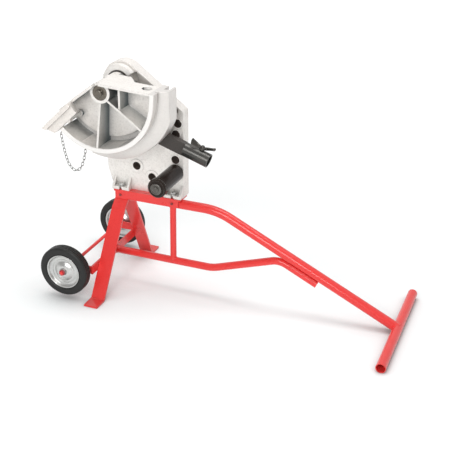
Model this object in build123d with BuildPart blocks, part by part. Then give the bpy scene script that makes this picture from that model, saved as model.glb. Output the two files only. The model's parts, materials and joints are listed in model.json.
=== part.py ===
# Mechanical conduit bender: a cast bending shoe and ratchet lever on a wheeled tube stand.
# +X runs along the beam to the floor bar, -Y faces the shoe side, +Z is up. Millimetres.
# The origin is on the floor, under the middle of the stand.
import os
from math import acos, asinh, atan2, cos, cosh, degrees, hypot, radians, sin, sinh, tan

from build123d import *

os.makedirs("parts", exist_ok=True)

# Fits
running_fit = 0.05
slip_fit = 0.2
side_gap = 0.4
weld_gap = 0.1

# Stand tubes, lengths along X are counted from the plane of the legs
beam_height = 371.0
main_tube_diameter = 38.0
main_tube_wall = 3.0
main_bend_radius = 250.0
beam_tail = 13.0
bend_reach = 417.0
foot_bar_reach = 1145.0
foot_bar_diameter = 38.0
foot_bar_wall = 3.0
foot_bar_length = 568.0
lower_tube_diameter = 30.0
lower_tube_wall = 2.5
lower_tube_height = 119.0
lower_rise_reach = 396.0
lower_rise_angle = 18.3
lower_rise_radius = 150.0
lower_meet_radius = 80.0
lower_tail_reach = 824.0
strut_diameter = 25.0
strut_wall = 2.5
strut_reach = 228.0

# Legs, cross bar and axle arms, all flat bar
leg_width = 57.0
leg_thickness = 8.0
leg_lean = 14.0
leg_bend_radius = 14.0
leg_corner_radius = 12.0
knee_height = 328.0
knee_spread = 47.0
heel_spread = 221.0
toe_length = 62.0
cross_bar_length = 420.0
cross_bar_height = 34.0
cross_bar_thickness = 8.0
arm_height = 30.0
arm_thickness = 8.0

# Axle and wheels
axle_diameter = 14.0
axle_height = 121.5
axle_setback = 125.0
axle_stickout = 3.0
wheel_diameter = 203.0
wheel_track = 489.0
tyre_width = 44.0
tyre_bore_radius = 66.0
tyre_groove_depth = 2.5
tyre_groove_width = 3.0
disc_thickness = 2.0
sleeve_radius = 13.0
sleeve_length = 40.0
washer_thickness = 2.5
axle_nut_flats = 22.0
axle_nut_height = 8.0

# Mounting plate on the beam
plate_length = 290.0
plate_width = 68.0
plate_thickness = 7.0
plate_tail = 20.0
plate_back_shift = 10.0
skirt_inset = 9.0
skirt_clear = 10.0

# Cast housing, heights counted from its base, lengths along X from the legs
housing_front_y = 4.0
housing_depth = 50.0
housing_wall = 10.0
housing_web = 14.0
lobe_radius = 74.0
shaft_reach = 21.0
shaft_rise = 441.0
brow_angle = 53.4
housing_right_reach = 271.0
housing_left_reach = -52.0
housing_heel_reach = -27.0
housing_shoulder_rise = 80.0
housing_shoulder_radius = 90.0
housing_corner_radius = 18.0
brow_recess_depth = 42.0
brow_rim = 6.0
brow_recess_drop = 100.0
brow_recess_angle = 33.5
recess_hub_radius = 48.0
pin_hole_radius = 16.0
pin_hole_spots = [(74.0, 103.0), (139.0, 66.0), (239.0, 154.0), (242.0, 257.0), (249.0, 301.0)]
wide_boss_radius = 27.0
narrow_boss_radius = 20.0
boss_height = 2.5
lug_length = 72.0
lug_depth = 26.0
lug_height = 13.0
gusset_thickness = 9.0
gusset_rise = 50.0
lug_spots = [12.0, 234.0]
bolt_diameter = 12.0
bolt_head_flats = 19.0
bolt_head_height = 8.0
bolt_washer_radius = 12.0
bolt_grip_below_plate = 8.0
bolt_y = -8.5
beam_screw_diameter = 6.0
beam_screw_flats = 10.0
beam_screw_head = 3.0
beam_screw_rise = 6.0
beam_screw_reach = 8.5

# Main shaft and its hardware
shaft_radius = 28.5
shaft_front_y = -175.0
shaft_stub_radius = 14.0
shaft_stub_length = 10.0
shaft_chamfer = 2.0
thrust_washer_radius = 46.0
thrust_washer_thickness = 3.6
spacer_thickness = 3.6
shaft_nut_flats = 84.0
shaft_nut_height = 20.0
shaft_washer_thickness = 5.0

# Bending shoe, depths are Y positions and angles are seen from the front
top_wall_angle = -3.4
left_wall_angle = -142.4
hook_angle = -136.0
flange_end_angle = -106.0
rim_radius = 224.0
rim_wall = 19.0
rim_inner_radius = rim_radius - rim_wall
rim_front_y = -195.0
front_flange_y = -165.0
groove_depth = 11.0
groove_floor_radius = rim_radius - groove_depth
groove_back_y = -150.0
groove_lip = 3.0
flank_hollow = 8.0
rim_rounding = 3.0
flange_radius = 273.0
flange_shift = 7.0
flange_front_y = -128.0
flange_back_y = -70.0
flange_wall = 11.0
flange_outer_wall = 28.0
end_pad_reach = 257.0
web_front_y = -103.0
web_back_y = -78.0
web_channel_radius = 186.0
web_channel_depth = 11.0
hub_radius = 40.0
hub_front_y = -172.0
wall_thickness = 10.0
wall_front_y = -188.0
top_wall_back_y = -101.0
ledge_back_y = -55.0
ledge_reach = 68.0
ledge_taper = 37.0
rib_thickness = 8.0
rib_drop = 2.0
down_rib_angle = -92.5
diagonal_rib_angle = -30.6
diagonal_rib_offset = -10.0
short_rib_reach = 76.0
pocket_margin = 6.0
sight_hole_radius = 19.0
sight_hole_reach = 173.0
sight_hole_y = -141.0
bush_radius = 33.0
bush_front_y = -150.0

# Hook on the shoe, reach along its own line from the shaft and side square to it
hook_pin_radius = 7.0
hook_pin_reach = 163.0
hook_pin_side = -3.0
hook_pin_seat_y = -84.0
hook_pin_grip = 16.0
hook_boss_wall = 5.0
hook_boss_height = 12.0
hook_face_y = -206.0
hook_lip_y = -216.0
hook_plate_y = -184.0
hook_back_y = -152.0
hook_inner_reach = 112.0
hook_jaw_reach = 228.0
hook_outer_reach = 243.0
hook_end_slant = 0.557
hook_width = 32.0
hook_lip_width = 16.0
hook_lip_depth = 34.0
hook_rounding = 2.5
hook_clearance = 1.5
hook_wall_gap = 10.0
hook_ear_wall = 3.0

# Keeper chain
link_wire_radius = 1.15
link_length = 19.0
link_width = 12.0
link_slack = 0.6
chain_links = 19
start_eye_stem = 11.8
end_eye_stem = 2.0
chain_start_angle = -132.6
chain_end_angle = -106.2
chain_y = -180.0

# Ratchet, lever and pawls
ratchet_teeth = 24
ratchet_radius = 105.0
ratchet_root_radius = 94.0
tooth_back_angle = 2.5
ratchet_thickness = 20.0
ratchet_screw_circle = 68.0
ratchet_screw_radius = 4.0
ratchet_screw_depth = 15.0
ratchet_screw_head = 5.0
ratchet_screw_angles = [-25.0, -72.0, -120.0]
drive_tooth_angle = -82.5
holding_tooth_steps = 3
lever_front_y = -38.0
lever_thickness = 27.0
lever_head_y = -24.4
lever_head_radius = 66.0
lever_head_angle = 35.0
lever_angle = -18.6
lever_offset = 128.0
lever_elbow_reach = 160.0
lever_elbow_radius = 28.0
lever_bar_start = 172.0
lever_bar_end = 326.0
lever_bar_height = 52.0
lever_bar_thickness = 22.0
lever_bar_rounding = 2.0
socket_diameter = 54.0
socket_wall = 5.0
socket_length = 104.0
pawl_pin_radius = 6.0
pawl_pin_circle = 132.0
pawl_pin_seat = 7.0
pawl_collar_radius = 10.0
pawl_boss_radius = 12.0
pawl_swing = 11.0
pawl_width = 15.0
pawl_lead = 30.0
pawl_tip_gap = 2.4
pawl_tip_lead = 0.6
spring_thickness = 1.2
spring_block = 9.0
spring_tail = 30.0
stop_pin_radius = 8.0
stop_pin_reach = 110.0

# Wing screw
wing_screw_radius = 6.0
wing_screw_setback = 40.0
wing_screw_short = 1.0
wing_hub_radius = 10.0
wing_hub_height = 20.0
wing_root_rise = 6.0
wing_span = 106.0
wing_thickness = 6.0
wing_rise = 16.0
wing_tip_height = 26.0
wing_tip_slant = 11.0
wing_turn = 11.0

# Roller support
roller_reach = 242.0
roller_rise = 105.0
roller_radius = 33.5
roller_head_radius = 37.0
roller_head_length = 22.0
roller_front_y = -178.0
roller_bore_radius = 11.0
roller_chamfer = 5.0
roller_ring_width = 3.0
roller_ring_depth = 2.0
roller_collar_radius = 24.0
roller_collar_length = 7.0
roller_cap_radius = 22.0
roller_cap_length = 6.0
roller_pin_end_length = 5.0

# Places that follow from the sizes above
wheel_radius = wheel_diameter / 2
main_radius = main_tube_diameter / 2
lower_radius = lower_tube_diameter / 2
strut_radius = strut_diameter / 2
foot_radius = foot_bar_diameter / 2
axle_radius = axle_diameter / 2
leg_x = -(foot_bar_reach + foot_radius - axle_setback - wheel_radius) / 2
foot_bar_x = leg_x + foot_bar_reach
axle_x = leg_x - axle_setback
bend_x = leg_x + bend_reach
slope_angle = atan2(beam_height - foot_radius, foot_bar_reach - bend_reach)
base_z = beam_height + main_radius + plate_thickness
shaft_x = leg_x + shaft_reach
shaft_z = base_z + shaft_rise
housing_back_y = housing_front_y + housing_depth
washer_back_y = lever_head_y - side_gap
hub_back_y = washer_back_y - thrust_washer_thickness - side_gap
lever_head_back_y = housing_front_y - spacer_thickness - side_gap
skirt_back_y = -(main_radius + weld_gap)
skirt_front_y = plate_back_shift - plate_width / 2
roller_x = leg_x + roller_reach
roller_z = base_z + roller_rise
lever_back_y = lever_front_y + lever_thickness
lever_mid_y = lever_front_y + lever_thickness / 2
ratchet_front_y = web_back_y
ratchet_back_y = web_back_y + ratchet_thickness


def facing(x, y, z):
    """Sketch plane that faces the shoe side, with X to the right and Z up."""
    return Plane(origin=(x, y, z), x_dir=(1, 0, 0), z_dir=(0, -1, 0))


def shaft_plane(y):
    """The facing plane at depth y with its origin on the main shaft."""
    return facing(shaft_x, y, shaft_z)


def turned_shaft_plane(y, angle):
    """The shaft plane turned so that its first axis points along an angle."""
    a = radians(angle)
    return Plane(origin=(shaft_x, y, shaft_z), x_dir=(cos(a), 0, sin(a)), z_dir=(0, -1, 0))


def polar(radius, angle):
    """Point at a radius and an angle round the shaft, on a facing plane."""
    return (radius * cos(radians(angle)), radius * sin(radians(angle)))


def radial_plane(angle, side):
    """Plane through the shaft along an angle, with radius first and depth second."""
    a = radians(angle)
    return Plane(
        origin=(shaft_x - side * sin(a), 0, shaft_z + side * cos(a)),
        x_dir=(cos(a), 0, sin(a)),
        z_dir=(-sin(a), 0, cos(a)),
    )


def beam_screw_plane(spot, y):
    """Plane square to a beam screw at depth y."""
    return facing(leg_x + spot, y, beam_height + beam_screw_rise)


def save(piece, name):
    """Label a finished piece and write it."""
    piece.part.label = name
    export_step(piece.part, f"parts/{name}.step")


ratchet_screw_spots = [polar(ratchet_screw_circle, angle) for angle in ratchet_screw_angles]

# Main tube: level under the housing, one bend, then down to the floor bar
with BuildPart() as main_tube:
    with BuildLine():
        FilletPolyline(
            (leg_x - beam_tail, 0, beam_height),
            (bend_x, 0, beam_height),
            (foot_bar_x, 0, foot_radius),
            radius=main_bend_radius,
        )
    with BuildSketch(Plane(origin=(leg_x - beam_tail, 0, beam_height), z_dir=(1, 0, 0))):
        Circle(main_radius)
        Circle(main_radius - main_tube_wall, mode=Mode.SUBTRACT)
    sweep()
    with Locations((foot_bar_x, 0, foot_radius)):
        Cylinder(foot_radius, foot_bar_length, rotation=(90, 0, 0), mode=Mode.SUBTRACT)
    with Locations(*[(leg_x + spot, bolt_y, beam_height + main_radius) for spot in lug_spots]):
        Cylinder(bolt_diameter / 2 + slip_fit, main_tube_diameter, mode=Mode.SUBTRACT)
    with Locations(*[beam_screw_plane(spot, -main_radius) for spot in lug_spots]):
        Cylinder(beam_screw_diameter / 2 + slip_fit, main_radius, mode=Mode.SUBTRACT)
save(main_tube, "main_tube")

# Floor bar: open tube across the end of the main tube
with BuildPart() as foot_bar:
    with BuildSketch(facing(foot_bar_x, foot_bar_length / 2, foot_radius)):
        Circle(foot_radius)
        Circle(foot_radius - foot_bar_wall, mode=Mode.SUBTRACT)
    extrude(amount=foot_bar_length)
save(foot_bar, "foot_bar")

# Lower tube: level, then up to the main tube and along its underside
leg_slant = leg_lean / (knee_height - leg_thickness)
cross_bar_x = leg_x - leg_width / 2 + leg_slant * (axle_height - cross_bar_height / 2 - leg_thickness)
lower_left_x = cross_bar_x
rise_x = leg_x + lower_rise_reach
underside = (main_radius + lower_radius + weld_gap) / cos(slope_angle)
rise_slope = tan(radians(lower_rise_angle))
meet_x = (
    beam_height - underside + tan(slope_angle) * bend_x - lower_tube_height + rise_slope * rise_x
) / (rise_slope + tan(slope_angle))
meet_z = lower_tube_height + rise_slope * (meet_x - rise_x)
lower_end_x = leg_x + lower_tail_reach
lower_end_z = meet_z - tan(slope_angle) * (lower_end_x - meet_x)
with BuildPart() as lower_tube:
    with BuildLine():
        FilletPolyline(
            (lower_left_x, 0, lower_tube_height),
            (rise_x, 0, lower_tube_height),
            (meet_x, 0, meet_z),
            (lower_end_x, 0, lower_end_z),
            radius=[lower_rise_radius, lower_meet_radius],
        )
    with BuildSketch(Plane(origin=(lower_left_x, 0, lower_tube_height), z_dir=(1, 0, 0))):
        Circle(lower_radius)
        Circle(lower_radius - lower_tube_wall, mode=Mode.SUBTRACT)
    sweep()
save(lower_tube, "lower_tube")

# Strut: short upright tube, saddle cut at both ends
with BuildPart() as strut_tube:
    with BuildSketch(Plane.XY.offset(lower_tube_height)):
        with Locations((leg_x + strut_reach, 0)):
            Circle(strut_radius)
            Circle(strut_radius - strut_wall, mode=Mode.SUBTRACT)
    extrude(amount=beam_height - lower_tube_height)
    with Locations((leg_x + strut_reach, 0, beam_height)):
        Cylinder(main_radius, 2 * strut_diameter, rotation=(0, 90, 0), mode=Mode.SUBTRACT)
    with Locations((leg_x + strut_reach, 0, lower_tube_height)):
        Cylinder(lower_radius, 2 * strut_diameter, rotation=(0, 90, 0), mode=Mode.SUBTRACT)
save(strut_tube, "strut_tube")

# Legs: flat bar with a bent foot, leaning a little to the floor bar's side
leg_top_z = beam_height
for side, name in ((-1, "front_leg"), (1, "rear_leg")):
    with BuildPart() as leg:
        with BuildSketch(Plane.YZ.offset(leg_x - leg_width)):
            with BuildLine():
                FilletPolyline(
                    (side * (heel_spread + toe_length), leg_thickness / 2),
                    (side * heel_spread, leg_thickness / 2),
                    (side * knee_spread, knee_height),
                    (0, beam_height),
                    radius=leg_bend_radius,
                )
            trace(line_width=leg_thickness)
        extrude(amount=2 * leg_width + leg_lean)
        with BuildSketch(facing(leg_x, heel_spread + 2 * toe_length, 0)) as leg_outline:
            Polygon(
                (-leg_width / 2, -leg_thickness),
                (leg_width / 2, -leg_thickness),
                (leg_width / 2, leg_thickness),
                (leg_width / 2 + leg_lean, knee_height),
                (leg_width / 2 + leg_lean, leg_top_z),
                (-leg_width / 2 + leg_lean, leg_top_z),
                (-leg_width / 2 + leg_lean, knee_height),
                (-leg_width / 2, leg_thickness),
                align=None,
            )
        extrude(amount=2 * heel_spread + 4 * toe_length, mode=Mode.INTERSECT)
        with Locations((leg_x, 0, beam_height)):
            Cylinder(main_radius, 4 * leg_width, rotation=(0, 90, 0), mode=Mode.SUBTRACT)
        split(bisect_by=Plane(origin=(0, side * weld_gap, 0), z_dir=(0, side, 0)))
    save(leg, name)

# Cross bar behind the legs
with BuildPart() as leg_cross_bar:
    with Locations((cross_bar_x, 0, axle_height)):
        Box(cross_bar_thickness, cross_bar_length, cross_bar_height, align=(Align.MAX, Align.CENTER, Align.CENTER))
save(leg_cross_bar, "leg_cross_bar")

# Axle arms: from the ends of the cross bar back to the axle
arm_face_x = cross_bar_x - cross_bar_thickness
arm_out_y = cross_bar_length / 2
for side, name in ((-1, "front_axle_arm"), (1, "rear_axle_arm")):
    with BuildPart() as axle_arm:
        with BuildSketch(facing(axle_x, side * (arm_out_y - arm_thickness / 2) + arm_thickness / 2, axle_height)):
            Circle(arm_height / 2)
            with Locations(((arm_face_x - axle_x) / 2, 0)):
                Rectangle(arm_face_x - axle_x, arm_height)
            Circle(axle_radius + running_fit, mode=Mode.SUBTRACT)
        extrude(amount=arm_thickness)
    save(axle_arm, name)

# Axle with its spacers, washers and nuts
sleeve_end_y = wheel_track / 2 + sleeve_length / 2 + side_gap
washer_end_y = sleeve_end_y + washer_thickness
nut_end_y = washer_end_y + axle_nut_height
with BuildPart() as axle:
    with BuildSketch(facing(axle_x, nut_end_y + axle_stickout, axle_height)):
        Circle(axle_radius)
    extrude(amount=2 * (nut_end_y + axle_stickout))
    chamfer(axle.edges().filter_by(GeomType.CIRCLE), length=axle_radius / 7)
save(axle, "axle")

spacer_end_y = wheel_track / 2 - sleeve_length / 2 - side_gap
with BuildPart() as axle_spacers:
    for start_y in (spacer_end_y, -arm_out_y):
        with BuildSketch(facing(axle_x, start_y, axle_height)):
            Circle(sleeve_radius)
            Circle(axle_radius + running_fit, mode=Mode.SUBTRACT)
        extrude(amount=spacer_end_y - arm_out_y)
save(axle_spacers, "axle_spacers")

with BuildPart() as axle_washers:
    for start_y in (washer_end_y, -sleeve_end_y):
        with BuildSketch(facing(axle_x, start_y, axle_height)):
            Circle(sleeve_radius)
            Circle(axle_radius + running_fit, mode=Mode.SUBTRACT)
        extrude(amount=washer_thickness)
save(axle_washers, "axle_washers")

with BuildPart() as axle_nuts:
    for start_y in (nut_end_y, -washer_end_y):
        with BuildSketch(facing(axle_x, start_y, axle_height)):
            RegularPolygon(axle_nut_flats / 2, 6, major_radius=False)
            Circle(axle_radius + running_fit, mode=Mode.SUBTRACT)
        extrude(amount=axle_nut_height)
save(axle_nuts, "axle_nuts")

# Wheels: rubber tyre, two pressed discs and a hub sleeve each
drum_radius = tyre_bore_radius - disc_thickness / 2 - running_fit
half_width = tyre_width / 2
lip_y = half_width * 0.86
tyre_shoulder = wheel_radius - 0.09 * wheel_radius
for side, name in ((-1, "front"), (1, "rear")):
    wheel_y = side * wheel_track / 2
    hub_axis = Axis((axle_x, 0, axle_height), (0, 1, 0))
    radial = Plane(origin=(axle_x, wheel_y, axle_height), x_dir=(1, 0, 0), z_dir=(0, 0, 1))
    with BuildPart() as tyre:
        with BuildSketch(radial):
            with BuildLine():
                Polyline(
                    (tyre_bore_radius, -half_width * 0.78),
                    (tyre_bore_radius + 6, -half_width * 0.82),
                    (tyre_bore_radius + 12, -half_width),
                    (tyre_shoulder, -half_width),
                )
                ThreePointArc(
                    (tyre_shoulder, -half_width),
                    (wheel_radius - 0.018 * wheel_radius, -half_width * 0.82),
                    (wheel_radius, -half_width * 0.55),
                )
                Line((wheel_radius, -half_width * 0.55), (wheel_radius, half_width * 0.55))
                ThreePointArc(
                    (wheel_radius, half_width * 0.55),
                    (wheel_radius - 0.018 * wheel_radius, half_width * 0.82),
                    (tyre_shoulder, half_width),
                )
                Polyline(
                    (tyre_shoulder, half_width),
                    (tyre_bore_radius + 12, half_width),
                    (tyre_bore_radius + 6, half_width * 0.82),
                    (tyre_bore_radius, half_width * 0.78),
                    (tyre_bore_radius, -half_width * 0.78),
                )
            make_face()
            with Locations(*[(wheel_radius, half_width * share) for share in (-0.4, 0, 0.4)]):
                Rectangle(2 * tyre_groove_depth, tyre_groove_width, mode=Mode.SUBTRACT)
        revolve(axis=hub_axis)
    save(tyre, f"{name}_tyre")

    for face, disc_name in ((side, "outer"), (-side, "inner")):
        with BuildPart() as disc:
            with BuildSketch(radial):
                with BuildLine():
                    FilletPolyline(
                        (drum_radius, face * disc_thickness / 4),
                        (drum_radius, face * lip_y),
                        (tyre_bore_radius + 5, face * (lip_y + disc_thickness / 2)),
                        radius=disc_thickness,
                    )
                trace(line_width=disc_thickness)
                with BuildLine():
                    FilletPolyline(
                        (drum_radius, face * half_width * 0.5),
                        (tyre_bore_radius * 0.74, face * half_width * 0.42),
                        (tyre_bore_radius * 0.6, face * half_width * 0.5),
                        (tyre_bore_radius * 0.4, face * half_width * 0.84),
                        (sleeve_radius + slip_fit, face * half_width * 0.88),
                        radius=disc_thickness * 2,
                    )
                trace(line_width=disc_thickness)
            revolve(axis=hub_axis)
        save(disc, f"{name}_wheel_{disc_name}_disc")

    with BuildPart() as sleeve:
        with BuildSketch(facing(axle_x, wheel_y + sleeve_length / 2, axle_height)):
            Circle(sleeve_radius)
            Circle(axle_radius + running_fit, mode=Mode.SUBTRACT)
        extrude(amount=sleeve_length)
    save(sleeve, f"{name}_wheel_sleeve")

# Mounting plate along the top of the beam, its front edge folded down beside the tube
with BuildPart() as mounting_plate:
    with BuildSketch(Plane.XY.offset(base_z - plate_thickness)):
        with Locations((leg_x - plate_tail + plate_length / 2, plate_back_shift)):
            RectangleRounded(plate_length, plate_width, plate_thickness)
        with Locations(*[(leg_x + spot, bolt_y) for spot in lug_spots]):
            Circle(bolt_diameter / 2 + slip_fit, mode=Mode.SUBTRACT)
    extrude(amount=plate_thickness)
    with BuildSketch(Plane.XY.offset(base_z - plate_thickness)):
        with Locations((leg_x - plate_tail + skirt_inset, skirt_front_y)):
            Rectangle(plate_length - 2 * skirt_inset, skirt_back_y - skirt_front_y, align=(Align.MIN, Align.MIN))
    extrude(amount=-(main_tube_diameter - skirt_clear))
    with Locations(*[beam_screw_plane(spot, skirt_front_y) for spot in lug_spots]):
        Cylinder(beam_screw_diameter / 2 + slip_fit, main_radius, mode=Mode.SUBTRACT)
save(mounting_plate, "mounting_plate")

# Housing: one casting, lobe round the shaft at the top, lugs at the foot, cored from the back
brow_x, brow_z = polar(lobe_radius, brow_angle)
brow_corner_z = brow_z - (housing_right_reach - shaft_reach - brow_x) / tan(radians(brow_angle))
left_u = housing_left_reach - shaft_reach
right_u = housing_right_reach - shaft_reach
heel_u = housing_heel_reach - shaft_reach
foot_v = -shaft_rise
recess_floor_v = -brow_recess_drop
hole_spots = pin_hole_spots + [(roller_reach, roller_rise)]


def from_base(spot):
    """Housing spot counted from the legs and the base, as a point on the shaft plane."""
    return (spot[0] - shaft_reach, spot[1] - shaft_rise)


def under_brow(u):
    """Height of the brow's lower face at a place along the shaft plane."""
    return (lobe_radius - brow_rim - u * cos(radians(brow_angle))) / sin(radians(brow_angle))


with BuildPart() as housing:
    with BuildSketch(shaft_plane(housing_back_y)) as housing_outline:
        Polygon(
            (0, 0),
            (-lobe_radius, 0),
            (left_u, housing_shoulder_rise - shaft_rise),
            (heel_u, foot_v),
            (right_u, foot_v),
            (right_u, brow_corner_z),
            (brow_x, brow_z),
            align=None,
        )
        Circle(lobe_radius)
        corners = housing_outline.vertices()
        fillet(corners.sort_by_distance((left_u, housing_shoulder_rise - shaft_rise))[0], housing_shoulder_radius)
        corners = housing_outline.vertices()
        fillet(corners.sort_by_distance((right_u, brow_corner_z))[0], housing_corner_radius)
    extrude(amount=housing_depth)
    # Recess under the sloping brow, open to the front, from the shaft's boss outwards
    recess_corner = polar((lobe_radius - brow_rim) / cos(radians(brow_angle - brow_recess_angle)), brow_recess_angle)
    with BuildSketch(shaft_plane(housing_front_y)):
        Polygon(
            (0, 0),
            recess_corner,
            (right_u - 2 * housing_wall, under_brow(right_u - 2 * housing_wall)),
            (right_u - 2 * housing_wall, recess_floor_v),
            (lobe_radius, recess_floor_v),
            (recess_hub_radius, 0),
            align=None,
        )
        Circle(recess_hub_radius, mode=Mode.SUBTRACT)
    extrude(amount=-brow_recess_depth, mode=Mode.SUBTRACT)
    # Cored back below the brow, with the hole bosses left standing
    with BuildSketch(shaft_plane(housing_back_y)) as core:
        Polygon(
            (left_u + 2 * housing_wall, recess_floor_v - housing_wall),
            (left_u + 2 * housing_wall, housing_shoulder_rise - shaft_rise),
            (heel_u + housing_wall, foot_v + housing_web),
            (right_u - housing_wall, foot_v + housing_web),
            (right_u - housing_wall, recess_floor_v - housing_wall),
            align=None,
        )
        with Locations(*[from_base(spot) for spot in hole_spots]):
            Circle(wide_boss_radius, mode=Mode.SUBTRACT)
        with Locations(from_base((housing_right_reach / 2, (shaft_rise - brow_recess_drop) / 2))):
            Rectangle(housing_wall, shaft_rise, mode=Mode.SUBTRACT)
            Rectangle(2 * housing_right_reach, housing_wall, mode=Mode.SUBTRACT)
    extrude(amount=housing_depth - housing_web, mode=Mode.SUBTRACT)
    # Foot lugs with their gussets
    for spot in lug_spots:
        lug_u = spot - shaft_reach
        with BuildSketch(shaft_plane(housing_front_y)):
            with Locations((lug_u, foot_v + lug_height / 2)):
                Rectangle(lug_length, lug_height)
        extrude(amount=lug_depth)
        for gusset_u in (lug_u - lug_length / 2, lug_u + lug_length / 2 - gusset_thickness):
            with BuildSketch(Plane.YZ.offset(shaft_x + gusset_u)):
                Polygon(
                    (housing_front_y, base_z),
                    (housing_front_y - lug_depth, base_z),
                    (housing_front_y - lug_depth, base_z + lug_height),
                    (housing_front_y, base_z + gusset_rise),
                    align=None,
                )
            extrude(amount=gusset_thickness)
        with BuildSketch(Plane.XY.offset(base_z)):
            with Locations((leg_x + spot, bolt_y)):
                Circle(bolt_diameter / 2 + slip_fit)
            with Locations((leg_x + spot, bolt_y - lug_depth / 2)):
                Rectangle(bolt_diameter + 2 * slip_fit, lug_depth)
        extrude(amount=lug_height, mode=Mode.SUBTRACT)
    # Raised bosses and the pin holes through them
    with BuildSketch(shaft_plane(housing_front_y)):
        with Locations(*[from_base(spot) for spot in hole_spots[:2]]):
            Circle(wide_boss_radius)
        with Locations(*[from_base(spot) for spot in hole_spots[2:]]):
            Circle(narrow_boss_radius)
    extrude(amount=boss_height)
    with BuildSketch(shaft_plane(housing_back_y)):
        with Locations(*[from_base(spot) for spot in hole_spots]):
            Circle(pin_hole_radius)
        Circle(shaft_radius + running_fit)
    extrude(amount=housing_depth + 2 * boss_height, mode=Mode.SUBTRACT)
    # Seat for the holding pawl's pin
    holding_pin_angle = drive_tooth_angle - holding_tooth_steps * 360 / ratchet_teeth + pawl_lead
    with BuildSketch(shaft_plane(housing_front_y + pawl_pin_seat)):
        with Locations(polar(pawl_pin_circle, holding_pin_angle)):
            Circle(pawl_pin_radius)
    extrude(amount=housing_web, mode=Mode.SUBTRACT)
save(housing, "housing")

# Bolts and washers that hold the housing down
washer_z = base_z + lug_height
with BuildPart() as housing_washers:
    with BuildSketch(Plane.XY.offset(washer_z)):
        with Locations(*[(leg_x + spot, bolt_y) for spot in lug_spots]):
            Circle(bolt_washer_radius)
            Circle(bolt_diameter / 2 + slip_fit, mode=Mode.SUBTRACT)
    extrude(amount=washer_thickness)
save(housing_washers, "housing_washers")

with BuildPart() as housing_bolts:
    with BuildSketch(Plane.XY.offset(washer_z + washer_thickness)):
        with Locations(*[(leg_x + spot, bolt_y) for spot in lug_spots]):
            RegularPolygon(bolt_head_flats / 2, 6, major_radius=False)
    extrude(amount=bolt_head_height)
    with BuildSketch(Plane.XY.offset(washer_z + washer_thickness)):
        with Locations(*[(leg_x + spot, bolt_y) for spot in lug_spots]):
            Circle(bolt_diameter / 2)
    extrude(amount=-(washer_thickness + lug_height + plate_thickness + bolt_grip_below_plate))
save(housing_bolts, "housing_bolts")

# Small screws through the plate's folded edge into the beam, under each lug
with BuildPart() as beam_screws:
    for spot in lug_spots:
        with BuildSketch(beam_screw_plane(spot, skirt_front_y - weld_gap)):
            RegularPolygon(beam_screw_flats / 2, 6, major_radius=False)
        extrude(amount=beam_screw_head)
        with BuildSketch(beam_screw_plane(spot, skirt_front_y - weld_gap)):
            Circle(beam_screw_diameter / 2)
        extrude(amount=-beam_screw_reach)
save(beam_screws, "beam_screws")

# Main shaft with its washers, spacer and nut
nut_face_y = housing_back_y + shaft_washer_thickness
with BuildPart() as main_shaft:
    with BuildSketch(shaft_plane(nut_face_y + shaft_nut_height)):
        Circle(shaft_radius)
    extrude(amount=nut_face_y + shaft_nut_height - shaft_front_y)
    chamfer(main_shaft.edges().filter_by(GeomType.CIRCLE), length=shaft_chamfer)
    with BuildSketch(shaft_plane(shaft_front_y)):
        Circle(shaft_stub_radius)
    extrude(amount=shaft_stub_length)
    chamfer(main_shaft.faces().sort_by(Axis.Y)[0].edges(), length=shaft_chamfer)
save(main_shaft, "main_shaft")

with BuildPart() as shaft_washer:
    with BuildSketch(shaft_plane(nut_face_y)):
        Circle(lobe_radius - housing_wall)
        Circle(shaft_radius + running_fit, mode=Mode.SUBTRACT)
    extrude(amount=shaft_washer_thickness)
save(shaft_washer, "shaft_washer")

with BuildPart() as shaft_nut:
    with BuildSketch(shaft_plane(nut_face_y + shaft_nut_height)):
        RegularPolygon(shaft_nut_flats / 2, 6, major_radius=False)
        Circle(shaft_radius + running_fit, mode=Mode.SUBTRACT)
    extrude(amount=shaft_nut_height)
save(shaft_nut, "shaft_nut")

with BuildPart() as thrust_washer:
    with BuildSketch(shaft_plane(washer_back_y)):
        Circle(thrust_washer_radius)
        Circle(shaft_radius + running_fit, mode=Mode.SUBTRACT)
    extrude(amount=thrust_washer_thickness)
save(thrust_washer, "thrust_washer")

with BuildPart() as shaft_spacer:
    with BuildSketch(shaft_plane(housing_front_y)):
        Circle(hub_radius)
        Circle(shaft_radius + running_fit, mode=Mode.SUBTRACT)
    extrude(amount=spacer_thickness)
save(shaft_spacer, "shaft_spacer")

# Bending shoe: rim with its grooves, web, end walls, hub and ribs in one casting
shaft_axis = Axis((shaft_x, 0, shaft_z), (0, 1, 0))
flange_axis = Axis((shaft_x + flange_shift, 0, shaft_z), (0, 1, 0))
rim_plane = radial_plane(top_wall_angle, 0)
groove_mid_y = (front_flange_y + groove_back_y) / 2
groove_edge_radius = groove_floor_radius + groove_lip
step_radius = (groove_floor_radius + flange_radius) / 2
ridge_angle = (top_wall_angle + left_wall_angle) / 2 + 180
ridge_reach = hub_radius / sin(radians((top_wall_angle - left_wall_angle) / 2))
ridge_u, ridge_v = polar(ridge_reach, ridge_angle)
far = 2 * flange_radius
top_u, top_v = polar(far, top_wall_angle)
left_end_u, left_end_v = polar(far, left_wall_angle)


def above_walls(inset):
    """Corners of the open region outside the two end walls, lowered by an inset."""
    drop = inset / sin(radians((top_wall_angle - left_wall_angle) / 2))
    u0, v0 = polar(ridge_reach - drop, ridge_angle)
    return [
        (u0, v0),
        (u0 + top_u, v0 + top_v),
        polar(2 * far, ridge_angle - 60),
        polar(2 * far, ridge_angle),
        polar(2 * far, ridge_angle + 60),
        (u0 + left_end_u, v0 + left_end_v),
    ]


def top_wall_underside(u):
    """Height of the top wall's lower face over a point of the web."""
    slant = radians(top_wall_angle)
    return (hub_radius - wall_thickness) / cos(slant) + tan(slant) * u


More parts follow.
